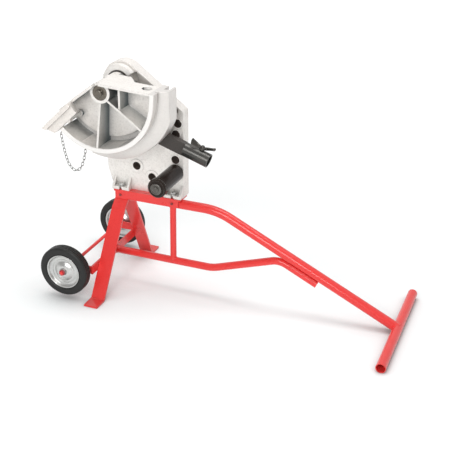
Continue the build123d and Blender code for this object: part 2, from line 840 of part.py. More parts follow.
def diagonal_rib_top(u):
    """Height of the diagonal rib's upper face over a point of the web."""
    slant = radians(diagonal_rib_angle)
    return (diagonal_rib_offset + rib_thickness / 2) / cos(slant) + tan(slant) * u


with BuildPart() as bending_shoe:
    with BuildSketch(rim_plane) as rim_profile:
        with BuildLine():
            Polyline(
                (groove_edge_radius, groove_back_y),
                (groove_edge_radius, web_back_y),
                (rim_inner_radius, web_back_y),
                (rim_inner_radius, rim_front_y),
                (rim_radius, rim_front_y),
                (rim_radius, front_flange_y),
            )
            ThreePointArc(
                (rim_radius, front_flange_y),
                (groove_floor_radius, groove_mid_y),
                (groove_edge_radius, groove_back_y),
            )
        make_face()
        fillet(rim_profile.vertices().sort_by_distance((rim_radius, rim_front_y))[0], rim_rounding)
        fillet(rim_profile.vertices().sort_by_distance((rim_inner_radius, rim_front_y))[0], rim_rounding)
    extrude(amount=hub_radius)
    revolve(rim_profile.sketch, axis=shaft_axis, revolution_arc=top_wall_angle - hook_angle)
    with BuildSketch(rim_plane) as flange_profile:
        with BuildLine():
            ThreePointArc(
                (groove_edge_radius, groove_back_y),
                (step_radius, groove_back_y + flank_hollow),
                (flange_radius, flange_front_y),
            )
            Polyline(
                (flange_radius, flange_front_y),
                (flange_radius, flange_back_y),
                (flange_radius - flange_outer_wall, flange_back_y),
                (flange_radius - flange_outer_wall, flange_front_y + 2 * flange_wall),
                (groove_edge_radius + flange_wall, groove_back_y + 3 * flange_wall),
                (groove_edge_radius + flange_wall, flange_back_y),
                (rim_inner_radius, flange_back_y),
                (rim_inner_radius, groove_back_y),
                (groove_edge_radius, groove_back_y),
            )
        make_face()
        fillet(flange_profile.vertices().sort_by_distance((flange_radius, flange_front_y))[0], rim_rounding)
    extrude(amount=hub_radius)
    revolve(flange_profile.sketch, axis=flange_axis, revolution_arc=top_wall_angle - flange_end_angle)
    # The rim's inside is one cylinder, also behind the shifted flange
    with BuildSketch(shaft_plane(flange_back_y)):
        Circle(rim_inner_radius)
    extrude(amount=flange_back_y - rim_front_y, mode=Mode.SUBTRACT)
    # Flat pad at the flange's end
    with BuildSketch(shaft_plane(flange_back_y)):
        with Locations((end_pad_reach, 0)):
            Rectangle(flange_radius, 2 * flange_radius, align=(Align.MIN, Align.CENTER))
    extrude(amount=flange_back_y - rim_front_y, mode=Mode.SUBTRACT)
    # Web with a stepped channel inside the rim
    with BuildSketch(shaft_plane(web_back_y)):
        Circle(rim_inner_radius)
    extrude(amount=web_back_y - web_front_y - web_channel_depth)
    with BuildSketch(shaft_plane(web_back_y)):
        Circle(web_channel_radius)
    extrude(amount=web_back_y - web_front_y)
    # End walls, tangent to the hub
    with BuildSketch(turned_shaft_plane(web_back_y, top_wall_angle)):
        with Locations((0, hub_radius)):
            Rectangle(rim_inner_radius, wall_thickness, align=(Align.MIN, Align.MAX))
    extrude(amount=web_back_y - wall_front_y)
    with BuildSketch(turned_shaft_plane(web_back_y, left_wall_angle)):
        with Locations((0, -hub_radius)):
            Rectangle(rim_inner_radius, wall_thickness, align=(Align.MIN, Align.MIN))
    extrude(amount=web_back_y - wall_front_y)
    # Two ribs from hub to rim, their front edges sloping, and a short one under the top wall
    for angle, side_v in ((down_rib_angle, 0), (diagonal_rib_angle, diagonal_rib_offset)):
        with BuildSketch(radial_plane(angle, side_v)):
            Polygon(
                (0, web_back_y),
                (rim_inner_radius, web_back_y),
                (rim_inner_radius, rim_front_y + rib_drop),
                (hub_radius, hub_front_y + rib_drop),
                (0, hub_front_y + rib_drop),
                align=None,
            )
        extrude(amount=rib_thickness / 2, both=True)
    with BuildSketch(shaft_plane(web_back_y)):
        Polygon(
            (short_rib_reach - rib_thickness / 2, top_wall_underside(short_rib_reach) + wall_thickness / 2),
            (short_rib_reach + rib_thickness / 2, top_wall_underside(short_rib_reach) + wall_thickness / 2),
            (short_rib_reach + rib_thickness / 2, diagonal_rib_top(short_rib_reach) - rib_thickness / 2),
            (short_rib_reach - rib_thickness / 2, diagonal_rib_top(short_rib_reach) - rib_thickness / 2),
            align=None,
        )
    extrude(amount=web_back_y - hub_front_y - rib_drop)
    # Through pocket between the hub, the short rib, the top wall and the diagonal rib
    with BuildSketch(shaft_plane(web_back_y)):
        pocket_left = hub_radius + pocket_margin
        pocket_right = short_rib_reach - rib_thickness / 2
        Polygon(
            (pocket_left, top_wall_underside(pocket_left) - pocket_margin / 3),
            (pocket_right, top_wall_underside(pocket_right) - pocket_margin / 3),
            (pocket_right, diagonal_rib_top(pocket_right) + pocket_margin / 3),
            (pocket_left, diagonal_rib_top(pocket_left) + pocket_margin / 3),
            align=None,
        )
    extrude(amount=web_back_y - web_front_y, mode=Mode.SUBTRACT)
    # Everything inside the rim ends at the outer faces of the two end walls
    with BuildSketch(shaft_plane(flange_back_y)):
        Polygon(*above_walls(0), align=None)
    extrude(amount=flange_back_y - rim_front_y, mode=Mode.SUBTRACT)
    # The top wall ends at the web, apart from a ledge beside the hub
    slant = radians(top_wall_angle)
    top_face = Plane(
        origin=(shaft_x - hub_radius * sin(slant), 0, shaft_z + hub_radius * cos(slant)),
        x_dir=(cos(slant), 0, sin(slant)),
        z_dir=(-sin(slant), 0, cos(slant)),
    )
    ledge_end = ledge_reach + ledge_taper
    ledge_share = (ledge_back_y - web_back_y) / (ledge_back_y - top_wall_back_y)
    ledge_middle = ledge_reach + ledge_taper * ledge_share
    with BuildSketch(top_face):
        Polygon(
            (ledge_middle, web_back_y),
            (ledge_end, top_wall_back_y),
            (rim_inner_radius, top_wall_back_y),
            (rim_inner_radius, web_back_y),
            align=None,
        )
    extrude(amount=-wall_thickness, mode=Mode.SUBTRACT)
    with BuildSketch(top_face):
        Polygon(
            (0, web_back_y),
            (ledge_middle, web_back_y),
            (ledge_reach, ledge_back_y),
            (0, ledge_back_y),
            align=None,
        )
    extrude(amount=-(wall_thickness - side_gap))
    # Hub
    with BuildSketch(shaft_plane(hub_back_y)):
        Circle(hub_radius)
    extrude(amount=hub_back_y - hub_front_y)
    with BuildSketch(shaft_plane(hub_back_y)):
        Circle(shaft_radius + running_fit)
    extrude(amount=hub_back_y - hub_front_y, mode=Mode.SUBTRACT)
    with BuildSketch(shaft_plane(hub_back_y)):
        Circle(bush_radius)
    extrude(amount=hub_back_y - bush_front_y, mode=Mode.SUBTRACT)
    # Sight hole through the top wall
    with BuildSketch(
        Plane(
            origin=(
                shaft_x + sight_hole_reach * cos(slant) - hub_radius * sin(slant),
                sight_hole_y,
                shaft_z + sight_hole_reach * sin(slant) + hub_radius * cos(slant),
            ),
            x_dir=(0, 1, 0),
            z_dir=(-sin(slant), 0, cos(slant)),
        )
    ):
        Circle(sight_hole_radius)
    extrude(amount=-wall_thickness - running_fit, mode=Mode.SUBTRACT)
    # Boss and seat for the hook's pin
    with BuildSketch(turned_shaft_plane(web_front_y, hook_angle)):
        with Locations((hook_pin_reach, hook_pin_side)):
            Circle(hook_pin_radius + hook_boss_wall)
    extrude(amount=hook_boss_height)
    with BuildSketch(turned_shaft_plane(hook_pin_seat_y, hook_angle)):
        with Locations((hook_pin_reach, hook_pin_side)):
            Circle(hook_pin_radius)
    extrude(amount=hook_pin_seat_y - rim_front_y, mode=Mode.SUBTRACT)
    # Room for the hook at the rim's end
    with BuildSketch(turned_shaft_plane(hook_back_y + hook_clearance, hook_angle)):
        with Locations((hook_inner_reach - hook_wall_gap, 0)):
            Rectangle(far, far, align=(Align.MIN, Align.MAX))
    extrude(amount=far, mode=Mode.SUBTRACT)
    # Screw holes for the ratchet sector
    with BuildSketch(shaft_plane(web_back_y)):
        with Locations(*ratchet_screw_spots):
            Circle(ratchet_screw_radius)
    extrude(amount=ratchet_screw_depth, mode=Mode.SUBTRACT)
save(bending_shoe, "bending_shoe")

with BuildPart() as shoe_bush:
    with BuildSketch(shaft_plane(hub_back_y)):
        Circle(bush_radius)
        Circle(shaft_radius + running_fit, mode=Mode.SUBTRACT)
    extrude(amount=hub_back_y - bush_front_y)
save(shoe_bush, "shoe_bush")

# Ratchet sector: saw teeth whose steep faces look against the bending turn
tooth_pitch = 360 / ratchet_teeth
with BuildPart() as ratchet_sector:
    with BuildSketch(shaft_plane(ratchet_back_y)):
        outline = []
        for tooth in range(ratchet_teeth):
            face_angle = drive_tooth_angle + tooth * tooth_pitch
            outline.append(polar(ratchet_radius, face_angle - tooth_back_angle))
            outline.append(polar(ratchet_root_radius, face_angle))
        Polygon(*outline, align=None)
        Circle(hub_radius + running_fit, mode=Mode.SUBTRACT)
        Polygon(*above_walls(wall_thickness), align=None, mode=Mode.SUBTRACT)
        with Locations(*ratchet_screw_spots):
            Circle(ratchet_screw_radius + slip_fit, mode=Mode.SUBTRACT)
    extrude(amount=ratchet_thickness)
save(ratchet_sector, "ratchet_sector")

with BuildPart() as ratchet_screws:
    with BuildSketch(shaft_plane(ratchet_back_y)):
        with Locations(*ratchet_screw_spots):
            Circle(ratchet_screw_radius)
    extrude(amount=ratchet_thickness + ratchet_screw_depth)
    with BuildSketch(shaft_plane(ratchet_back_y)):
        with Locations(*ratchet_screw_spots):
            RegularPolygon(2 * ratchet_screw_radius, 6)
    extrude(amount=-ratchet_screw_head)
save(ratchet_screws, "ratchet_screws")

# Hook: a plate with a deep jaw and a raised lip, turning on a pin in the shoe's web
with BuildPart() as hook_pin:
    with BuildSketch(turned_shaft_plane(hook_pin_seat_y, hook_angle)):
        with Locations((hook_pin_reach, hook_pin_side)):
            Circle(hook_pin_radius)
    extrude(amount=hook_pin_seat_y - hook_plate_y + hook_pin_grip)
save(hook_pin, "hook_pin")


def hook_end(side):
    """Reach of the hook's slanted outer end at a sideways place."""
    return hook_outer_reach - hook_end_slant * side


with BuildPart() as conduit_hook:
    with BuildSketch(turned_shaft_plane(hook_plate_y, hook_angle)):
        Polygon(
            (hook_inner_reach, -hook_clearance),
            (hook_end(-hook_clearance), -hook_clearance),
            (hook_end(-hook_width), -hook_width),
            (hook_inner_reach, -hook_width),
            align=None,
        )
    extrude(amount=hook_plate_y - hook_face_y)
    with BuildSketch(turned_shaft_plane(hook_lip_y + hook_lip_depth, hook_angle)):
        Polygon(
            (hook_inner_reach, -hook_width),
            (hook_end(-hook_width), -hook_width),
            (hook_end(-hook_width - hook_lip_width), -hook_width - hook_lip_width),
            (hook_inner_reach, -hook_width - hook_lip_width),
            align=None,
        )
    extrude(amount=hook_lip_depth)
    fillet(conduit_hook.edges().filter_by(Axis.Y), hook_rounding)
    with BuildSketch(turned_shaft_plane(hook_back_y, hook_angle)) as jaw_outline:
        Polygon(
            (hook_jaw_reach, -hook_clearance),
            (hook_end(-hook_clearance), -hook_clearance),
            (hook_end(-hook_width), -hook_width),
            (hook_jaw_reach, -hook_width),
            align=None,
        )
        fillet(jaw_outline.vertices(), hook_rounding)
    extrude(amount=hook_back_y - hook_plate_y)
    with BuildSketch(turned_shaft_plane(hook_plate_y, hook_angle)):
        with Locations((hook_pin_reach, hook_pin_side)):
            Circle(hook_pin_radius + hook_ear_wall)
    extrude(amount=hook_pin_grip + hook_ear_wall)
    with BuildSketch(turned_shaft_plane(hook_plate_y, hook_angle)):
        with Locations((hook_pin_reach, hook_pin_side)):
            Circle(hook_pin_radius + running_fit)
    extrude(amount=hook_pin_grip + side_gap, mode=Mode.SUBTRACT)
save(conduit_hook, "conduit_hook")

# Keeper chain: interlocked links hung between two eyes on the rim
link_bow = link_width / 2 - link_wire_radius
link_step = link_length - 4 * link_wire_radius - link_slack
link_half = link_step / 2 + link_wire_radius + link_slack / 2
eye_hang = link_bow - link_wire_radius - link_slack / 2
eye_rise = rim_radius + link_bow + eye_hang
start_u, start_v = polar(eye_rise + start_eye_stem, chain_start_angle)
end_u, end_v = polar(eye_rise + end_eye_stem, chain_end_angle)
span = end_u - start_u
drop = end_v - start_v
chain_run = chain_links * link_step


def hanging_run(scale):
    """Length of a hanging curve of that scale between the chain's two ends."""
    return hypot(2 * scale * sinh(span / (2 * scale)), drop)


low_scale = span / 40
high_scale = span * 40
for step in range(200):
    scale = (low_scale + high_scale) / 2
    if hanging_run(scale) > chain_run:
        low_scale = scale
    else:
        high_scale = scale
middle_u = (start_u + end_u) / 2 - scale * asinh(drop / (2 * scale * sinh(span / (2 * scale))))
start_arc = scale * sinh((start_u - middle_u) / scale)
joints_along = []
for count in range(chain_links + 1):
    u = middle_u + scale * asinh((start_arc + count * link_step) / scale)
    v = start_v + scale * (cosh((u - middle_u) / scale) - cosh((start_u - middle_u) / scale))
    joints_along.append((u, v))

with BuildPart() as one_link:
    with BuildLine():
        Line((-link_half + link_bow, -link_bow), (link_half - link_bow, -link_bow))
        ThreePointArc((link_half - link_bow, -link_bow), (link_half, 0), (link_half - link_bow, link_bow))
        Line((link_half - link_bow, link_bow), (-link_half + link_bow, link_bow))
        ThreePointArc((-link_half + link_bow, link_bow), (-link_half, 0), (-link_half + link_bow, -link_bow))
    with BuildSketch(Plane(origin=(0, -link_bow, 0), z_dir=(1, 0, 0))):
        Circle(link_wire_radius)
    sweep()

link_places = []
for count in range(chain_links):
    (u1, v1), (u2, v2) = joints_along[count], joints_along[count + 1]
    along = Vector(u2 - u1, 0, v2 - v1)
    flat = (0, 1, 0) if count % 2 == 0 else (v1 - v2, 0, u2 - u1)
    middle = (shaft_x + (u1 + u2) / 2, chain_y, shaft_z + (v1 + v2) / 2)
    link_places.append(Plane(origin=middle, x_dir=along, z_dir=flat).location)
with BuildPart() as keeper_chain:
    with Locations(*link_places):
        add(one_link.part)
save(keeper_chain, "keeper_chain")

with BuildPart() as chain_eyes:
    for first, second, count, stem in ((0, 1, 0, start_eye_stem), (-1, -2, chain_links - 1, end_eye_stem)):
        (u1, v1), (u2, v2) = joints_along[first], joints_along[second]
        pull = Vector(u2 - u1, 0, v2 - v1).normalized()
        centre = Vector(shaft_x + u1, chain_y, shaft_z + v1) - pull * eye_hang
        flat = (-pull.Z, 0, pull.X) if count % 2 == 0 else (0, 1, 0)
        with Locations(Plane(origin=centre, x_dir=pull, z_dir=flat).location):
            Torus(link_bow, link_wire_radius)
        top = centre - pull * link_bow
        inward = (Vector(shaft_x, chain_y, shaft_z) - top).normalized()
        with BuildSketch(Plane(origin=top, x_dir=(0, 1, 0), z_dir=inward)):
            Circle(1.5 * link_wire_radius)
        extrude(amount=link_bow + 2 * stem)
    with BuildSketch(shaft_plane(rim_front_y + rim_radius)):
        Circle(rim_radius)
    extrude(amount=2 * rim_radius, mode=Mode.SUBTRACT)
save(chain_eyes, "chain_eyes")

# Lever: a cast yoke on the shaft, a flat bar and an open socket for a handle
lever_slant = radians(lever_angle)
lever_foot = polar(lever_offset, lever_angle - 90)


def on_lever(reach, rise):
    """Point at a reach along the lever's line and a rise square to it, on the shaft plane."""
    u = lever_foot[0] + reach * cos(lever_slant) - rise * sin(lever_slant)
    v = lever_foot[1] + reach * sin(lever_slant) + rise * cos(lever_slant)
    return (u, v)


def lever_plane(reach, y):
    """Facing plane on the lever's line, its first axis along the lever."""
    u, v = on_lever(reach, 0)
    return Plane(
        origin=(shaft_x + u, y, shaft_z + v),
        x_dir=(cos(lever_slant), 0, sin(lever_slant)),
        z_dir=(0, -1, 0),
    )


def pawl_frame(tooth_angle, y):
    """Facing plane on a pawl's pin, turned with the pawl as it stands lifted."""
    u, v = polar(pawl_pin_circle, tooth_angle + pawl_lead)
    lift = radians(tooth_angle + pawl_swing)
    return Plane(origin=(shaft_x + u, y, shaft_z + v), x_dir=(cos(lift), 0, sin(lift)), z_dir=(0, -1, 0))


pin_u, pin_v = polar(pawl_pin_circle, pawl_lead)


def pawl_point(radius, angle):
    """Point of a pawl from its place round the ratchet when engaged, seen from its pin."""
    u, v = polar(radius, angle)
    return (u - pin_u, v - pin_v)


pawl_tip = pawl_point(ratchet_root_radius + pawl_tip_gap, pawl_tip_lead)
pawl_belly = pawl_point(ratchet_radius + 2 * pawl_tip_gap, tooth_pitch)
pawl_brow = (pawl_tip[0] + pawl_width, pawl_tip[1])
brow_distance = hypot(pawl_brow[0], pawl_brow[1])
back_angle = degrees(atan2(pawl_brow[1], pawl_brow[0])) + degrees(acos(pawl_boss_radius / brow_distance))
pawl_back = polar(pawl_boss_radius, back_angle)
back_length = hypot(pawl_brow[0] - pawl_back[0], pawl_brow[1] - pawl_back[1])
back_u = (pawl_back[0] - pawl_brow[0]) / back_length
back_v = (pawl_back[1] - pawl_brow[1]) / back_length
spring_off = side_gap + spring_thickness / 2
spring_near = (
    pawl_brow[0] + back_u * spring_block + back_v * spring_off,
    pawl_brow[1] + back_v * spring_block - back_u * spring_off,
)
spring_far = (
    pawl_back[0] + back_u * spring_tail + back_v * spring_off,
    pawl_back[1] + back_v * spring_tail - back_u * spring_off,
)
holding_tooth_angle = drive_tooth_angle - holding_tooth_steps * tooth_pitch
drive_pin_spot = polar(pawl_pin_circle, drive_tooth_angle + pawl_lead)
lift_angle = radians(drive_tooth_angle + pawl_swing)
spring_seat = (
    drive_pin_spot[0] + spring_far[0] * cos(lift_angle) - spring_far[1] * sin(lift_angle),
    drive_pin_spot[1] + spring_far[0] * sin(lift_angle) + spring_far[1] * cos(lift_angle),
)

with BuildPart() as lever_yoke:
    with BuildSketch(shaft_plane(lever_back_y)):
        Circle(hub_radius)
        with Locations(on_lever(lever_elbow_reach, 0)):
            Circle(lever_elbow_radius)
        with Locations(spring_seat):
            Circle(2 * spring_block)
        make_hull()
    extrude(amount=lever_thickness)
    with BuildSketch(lever_plane(lever_bar_start, lever_back_y)):
        Rectangle(far, far, align=(Align.MIN, Align.CENTER))
    extrude(amount=lever_thickness, mode=Mode.SUBTRACT)
    # Half-round head behind the washer, with room for the washer and the shoe's hub in front of it
    with BuildSketch(shaft_plane(lever_head_y)):
        Circle(thrust_washer_radius + 2 * side_gap)
    extrude(amount=lever_head_y - lever_front_y, mode=Mode.SUBTRACT)
    with BuildSketch(shaft_plane(lever_head_back_y)):
        Circle(lever_head_radius)
        with Locations(Location((0, 0), lever_head_angle)):
            Rectangle(far, far, align=(Align.CENTER, Align.MAX), mode=Mode.SUBTRACT)
        Circle(thrust_washer_radius)
    extrude(amount=lever_head_back_y - lever_head_y)
    with BuildSketch(shaft_plane(lever_head_back_y)):
        Circle(shaft_radius + running_fit)
        with Locations(drive_pin_spot):
            Circle(pawl_pin_radius)
    extrude(amount=lever_head_back_y - lever_front_y, mode=Mode.SUBTRACT)
save(lever_yoke, "lever_yoke")

with BuildPart() as lever_bar:
    with BuildSketch(lever_plane(lever_bar_start, lever_mid_y + lever_bar_thickness / 2)):
        Rectangle(lever_bar_end - lever_bar_start, lever_bar_height, align=(Align.MIN, Align.CENTER))
    extrude(amount=lever_bar_thickness)
    fillet(lever_bar.edges().filter_by(Axis.Y), lever_bar_rounding)
save(lever_bar, "lever_bar")

socket_radius = socket_diameter / 2
screw_reach = lever_bar_end + socket_length - wing_screw_setback
socket_u, socket_v = on_lever(lever_bar_end, 0)
screw_u, screw_v = on_lever(screw_reach, 0)
screw_axis = (-sin(lever_slant), 0, cos(lever_slant))
lever_axis = (cos(lever_slant), 0, sin(lever_slant))


def screw_plane(rise):
    """Plane square to the wing screw at a rise above the socket's middle line."""
    u, v = on_lever(screw_reach, rise)
    return Plane(origin=(shaft_x + u, lever_mid_y, shaft_z + v), x_dir=lever_axis, z_dir=screw_axis)


with BuildPart() as handle_socket:
    with BuildSketch(
        Plane(origin=(shaft_x + socket_u, lever_mid_y, shaft_z + socket_v), x_dir=(0, 1, 0), z_dir=lever_axis)
    ):
        Circle(socket_radius)
        Circle(socket_radius - socket_wall, mode=Mode.SUBTRACT)
    extrude(amount=socket_length)
    with BuildSketch(screw_plane(0)):
        Circle(wing_screw_radius + running_fit)
    extrude(amount=socket_diameter, mode=Mode.SUBTRACT)
save(handle_socket, "handle_socket")

wing_side = radians(wing_turn)
wing_along = (
    cos(lever_slant) * cos(wing_side),
    sin(wing_side),
    sin(lever_slant) * cos(wing_side),
)
wing_face = (
    cos(lever_slant) * sin(wing_side),
    -cos(wing_side),
    sin(lever_slant) * sin(wing_side),
)
with BuildPart() as wing_screw:
    with BuildSketch(screw_plane(socket_radius + side_gap)):
        Circle(wing_hub_radius)
    extrude(amount=wing_hub_height)
    with BuildSketch(screw_plane(socket_radius + side_gap)):
        Circle(wing_screw_radius)
    extrude(amount=-side_gap - socket_wall + wing_screw_short)
    wing_base = screw_plane(socket_radius + side_gap)
    with BuildSketch(Plane(origin=wing_base.origin, x_dir=wing_along, z_dir=wing_face)):
        for side in (-1, 1):
            Polygon(
                (0, wing_root_rise),
                (side * wing_span / 2, wing_rise),
                (side * (wing_span / 2 - wing_tip_slant), wing_rise + wing_tip_height),
                (0, wing_hub_height),
                align=None,
            )
    extrude(amount=wing_thickness / 2, both=True)
save(wing_screw, "wing_screw")

# Pawls, their pins and leaf springs: one on the lever, one on the housing
pawl_front_y = ratchet_front_y + side_gap
pawl_back_y = ratchet_back_y - side_gap
for name, tooth_angle, seat_y, carrier_y in (
    ("drive", drive_tooth_angle, lever_back_y, lever_front_y),
    ("holding", holding_tooth_angle, housing_front_y + pawl_pin_seat, housing_front_y),
):
    with BuildPart() as pawl:
        with BuildSketch(pawl_frame(tooth_angle, pawl_back_y)):
            Polygon(pawl_tip, pawl_belly, (-pawl_boss_radius * 0.8, 0), (0, 0), pawl_back, pawl_brow, align=None)
            Circle(pawl_boss_radius)
            Circle(pawl_pin_radius + running_fit, mode=Mode.SUBTRACT)
        extrude(amount=pawl_back_y - pawl_front_y)
    save(pawl, f"{name}_pawl")

    with BuildPart() as pawl_pin:
        with BuildSketch(pawl_frame(tooth_angle, seat_y)):
            Circle(pawl_pin_radius)
        extrude(amount=seat_y - pawl_front_y)
        with BuildSketch(pawl_frame(tooth_angle, carrier_y)):
            Circle(pawl_collar_radius)
        extrude(amount=carrier_y - pawl_back_y - side_gap)
    save(pawl_pin, f"{name}_pawl_pin")

    with BuildPart() as pawl_spring:
        with BuildSketch(pawl_frame(tooth_angle, pawl_back_y)):
            with BuildLine():
                Line(spring_near, spring_far)
            trace(line_width=spring_thickness)
        extrude(amount=pawl_back_y - pawl_front_y)
        with BuildSketch(pawl_frame(tooth_angle, carrier_y)):
            with Locations(spring_far):
                Circle(spring_block / 2)
        extrude(amount=carrier_y - pawl_front_y)
    save(pawl_spring, f"{name}_pawl_spring")

# Stop pin under the yoke's lower edge
elbow = on_lever(lever_elbow_reach, 0)
elbow_reach = hypot(elbow[0], elbow[1])
edge_angle = degrees(atan2(elbow[1], elbow[0])) - degrees(acos((hub_radius - lever_elbow_radius) / elbow_reach))
stop_a = polar(hub_radius + stop_pin_radius + side_gap, edge_angle)
stop_b = polar(stop_pin_reach, edge_angle + 90)
stop_spot = (stop_a[0] + stop_b[0], stop_a[1] + stop_b[1])
with BuildPart() as lever_stop_pin:
    with BuildSketch(shaft_plane(housing_front_y)):
        with Locations(stop_spot):
            Circle(stop_pin_radius)
    extrude(amount=housing_front_y - lever_front_y)
save(lever_stop_pin, "lever_stop_pin")

# Roller support: a pin in the housing, a turning roller and its end cap
roller_seat_y = housing_front_y - boss_height
collar_y = roller_seat_y - roller_collar_length
with BuildPart() as roller_pin:
    with BuildSketch(facing(roller_x, housing_back_y, roller_z)):
        Circle(pin_hole_radius - running_fit)
    extrude(amount=housing_back_y - roller_seat_y)
    with BuildSketch(facing(roller_x, roller_seat_y, roller_z)):
        Circle(roller_collar_radius)
    extrude(amount=roller_collar_length)
    with BuildSketch(facing(roller_x, collar_y, roller_z)):
        Circle(roller_bore_radius)
    extrude(amount=collar_y - roller_front_y + roller_cap_length + roller_pin_end_length)
    chamfer(roller_pin.faces().sort_by(Axis.Y)[0].edges(), length=roller_chamfer / 3)
save(roller_pin, "roller_pin")

roller_axis = Axis((roller_x, 0, roller_z), (0, 1, 0))
with BuildPart() as roller:
    with BuildSketch(Plane(origin=(roller_x, 0, roller_z), x_dir=(1, 0, 0), z_dir=(0, 0, 1))):
        head_y = roller_front_y + roller_head_length
        ring_mid = roller_front_y + roller_head_length / 2
        Polygon(
            (roller_bore_radius + running_fit, collar_y - side_gap),
            (roller_radius, collar_y - side_gap),
            (roller_radius, head_y),
            (roller_head_radius, head_y),
            (roller_head_radius, ring_mid + roller_ring_width / 2),
            (roller_head_radius - roller_ring_depth, ring_mid + roller_ring_width / 2),
            (roller_head_radius - roller_ring_depth, ring_mid - roller_ring_width / 2),
            (roller_head_radius, ring_mid - roller_ring_width / 2),
            (roller_head_radius, roller_front_y + roller_chamfer),
            (roller_head_radius - roller_chamfer, roller_front_y),
            (roller_bore_radius + running_fit, roller_front_y),
            align=None,
        )
    revolve(axis=roller_axis)
save(roller, "roller")

with BuildPart() as roller_cap:
    with BuildSketch(facing(roller_x, roller_front_y - side_gap, roller_z)):
        Circle(roller_cap_radius)
        Circle(roller_bore_radius + running_fit, mode=Mode.SUBTRACT)
    extrude(amount=roller_cap_length - side_gap)
    chamfer(roller_cap.faces().sort_by(Axis.Y)[0].edges().sort_by(SortBy.RADIUS)[-1], length=roller_chamfer / 3)
save(roller_cap, "roller_cap")
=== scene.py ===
import json
import math
import bmesh
import bpy
from mathutils import Matrix, Vector


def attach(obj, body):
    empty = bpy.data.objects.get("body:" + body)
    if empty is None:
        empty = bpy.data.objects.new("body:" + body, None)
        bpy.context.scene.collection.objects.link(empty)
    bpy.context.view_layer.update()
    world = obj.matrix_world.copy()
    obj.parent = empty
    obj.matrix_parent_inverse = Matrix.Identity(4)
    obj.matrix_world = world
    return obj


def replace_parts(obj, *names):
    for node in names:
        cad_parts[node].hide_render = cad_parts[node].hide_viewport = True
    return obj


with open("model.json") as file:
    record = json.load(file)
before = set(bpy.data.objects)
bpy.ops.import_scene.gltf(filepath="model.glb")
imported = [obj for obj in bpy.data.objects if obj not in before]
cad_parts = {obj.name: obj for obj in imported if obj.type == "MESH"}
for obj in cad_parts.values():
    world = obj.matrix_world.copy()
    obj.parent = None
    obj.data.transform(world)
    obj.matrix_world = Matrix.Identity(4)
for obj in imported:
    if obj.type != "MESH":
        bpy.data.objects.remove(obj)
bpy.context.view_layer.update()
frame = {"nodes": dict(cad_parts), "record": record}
nodes = frame["nodes"]
print("frame loaded,", len(nodes), "nodes")

scene = bpy.context.scene
scene.view_settings.view_transform = "Standard"

# camera at the photo's stand point
cameraSet = {"place": (1.14031, -3.02908, 1.87802), "swing": 21.0, "down": 25.71, "roll": 0.95, "lens": 74.94,
             "sensor": 36.0, "farClip": 60.0}


def setCamera(s):
    lens = bpy.data.cameras.new("viewCamera")
    lens.lens = s["lens"]
    lens.sensor_width = s["sensor"]
    lens.sensor_fit = "HORIZONTAL"
    lens.clip_end = s["farClip"]
    view = bpy.data.objects.new("viewCamera", lens)
    turn = Matrix.Rotation(math.radians(s["swing"]), 4, "Z")
    turn = turn @ Matrix.Rotation(math.radians(90 - s["down"]), 4, "X")
    turn = turn @ Matrix.Rotation(math.radians(s["roll"]), 4, "Z")
    view.matrix_world = Matrix.Translation(s["place"]) @ turn
    scene.collection.objects.link(view)
    scene.camera = view


setCamera(cameraSet)
print("camera set")


# small helpers for shader trees
def put(tree, kind, values=None, **props):
    node = tree.nodes.new(kind)
    for key, value in props.items():
        setattr(node, key, value)
    for key, value in (values or {}).items():
        node.inputs[key].default_value = value
    return node


def wire(tree, source, target):
    tree.links.new(source, target)


def makeGroup(name, inputs, outputs):
    tree = bpy.data.node_groups.new(name, "ShaderNodeTree")
    for label, kind, value in inputs:
        socket = tree.interface.new_socket(name=label, in_out="INPUT", socket_type=kind)
        if value is not None:
            socket.default_value = value
    for label, kind in outputs:
        tree.interface.new_socket(name=label, in_out="OUTPUT", socket_type=kind)
    return tree, put(tree, "NodeGroupInput"), put(tree, "NodeGroupOutput")


def useGroup(tree, group, values=None):
    return put(tree, "ShaderNodeGroup", values, node_tree=group)


def mathNode(tree, operation, first, second=None, clamp=False):
    node = put(tree, "ShaderNodeMath", operation=operation, use_clamp=clamp)
    for index, value in enumerate((first, second)):
        if value is None:
            continue
        if isinstance(value, (int, float)):
            node.inputs[index].default_value = value
        else:
            wire(tree, value, node.inputs[index])
    return node.outputs[0]


def spread(tree, value, low, high, toLow=0.0, toHigh=1.0):
    limits = {"From Min": low, "From Max": high, "To Min": toLow, "To Max": toHigh}
    node = put(tree, "ShaderNodeMapRange", limits)
    wire(tree, value, node.inputs["Value"])
    return node.outputs["Result"]


# inputs 6 and 7 of a Mix node are its two colours, output 2 the mixed one
def mixColour(tree, factor, first, second):
    node = put(tree, "ShaderNodeMix", data_type="RGBA")
    wire(tree, factor, node.inputs[0])
    for index, value in ((6, first), (7, second)):
        if isinstance(value, tuple):
            node.inputs[index].default_value = (*value, 1)
        else:
            wire(tree, value, node.inputs[index])
    return node.outputs[2]


# fine grain, small pits and broad patches of a cast or painted skin
grainSet = {"fine": {"Detail": 4.0, "Roughness": 0.62}, "fineShare": 0.65,
            "pits": {"Randomness": 1.0}, "pitScale": 0.55, "pitReach": 0.5, "pitShare": 0.35,
            "broad": {"Detail": 3.0, "Roughness": 0.55, "Distortion": 0.4},
            "toneFrom": (0.32, 0.78), "patchFrom": (0.32, 0.68)}


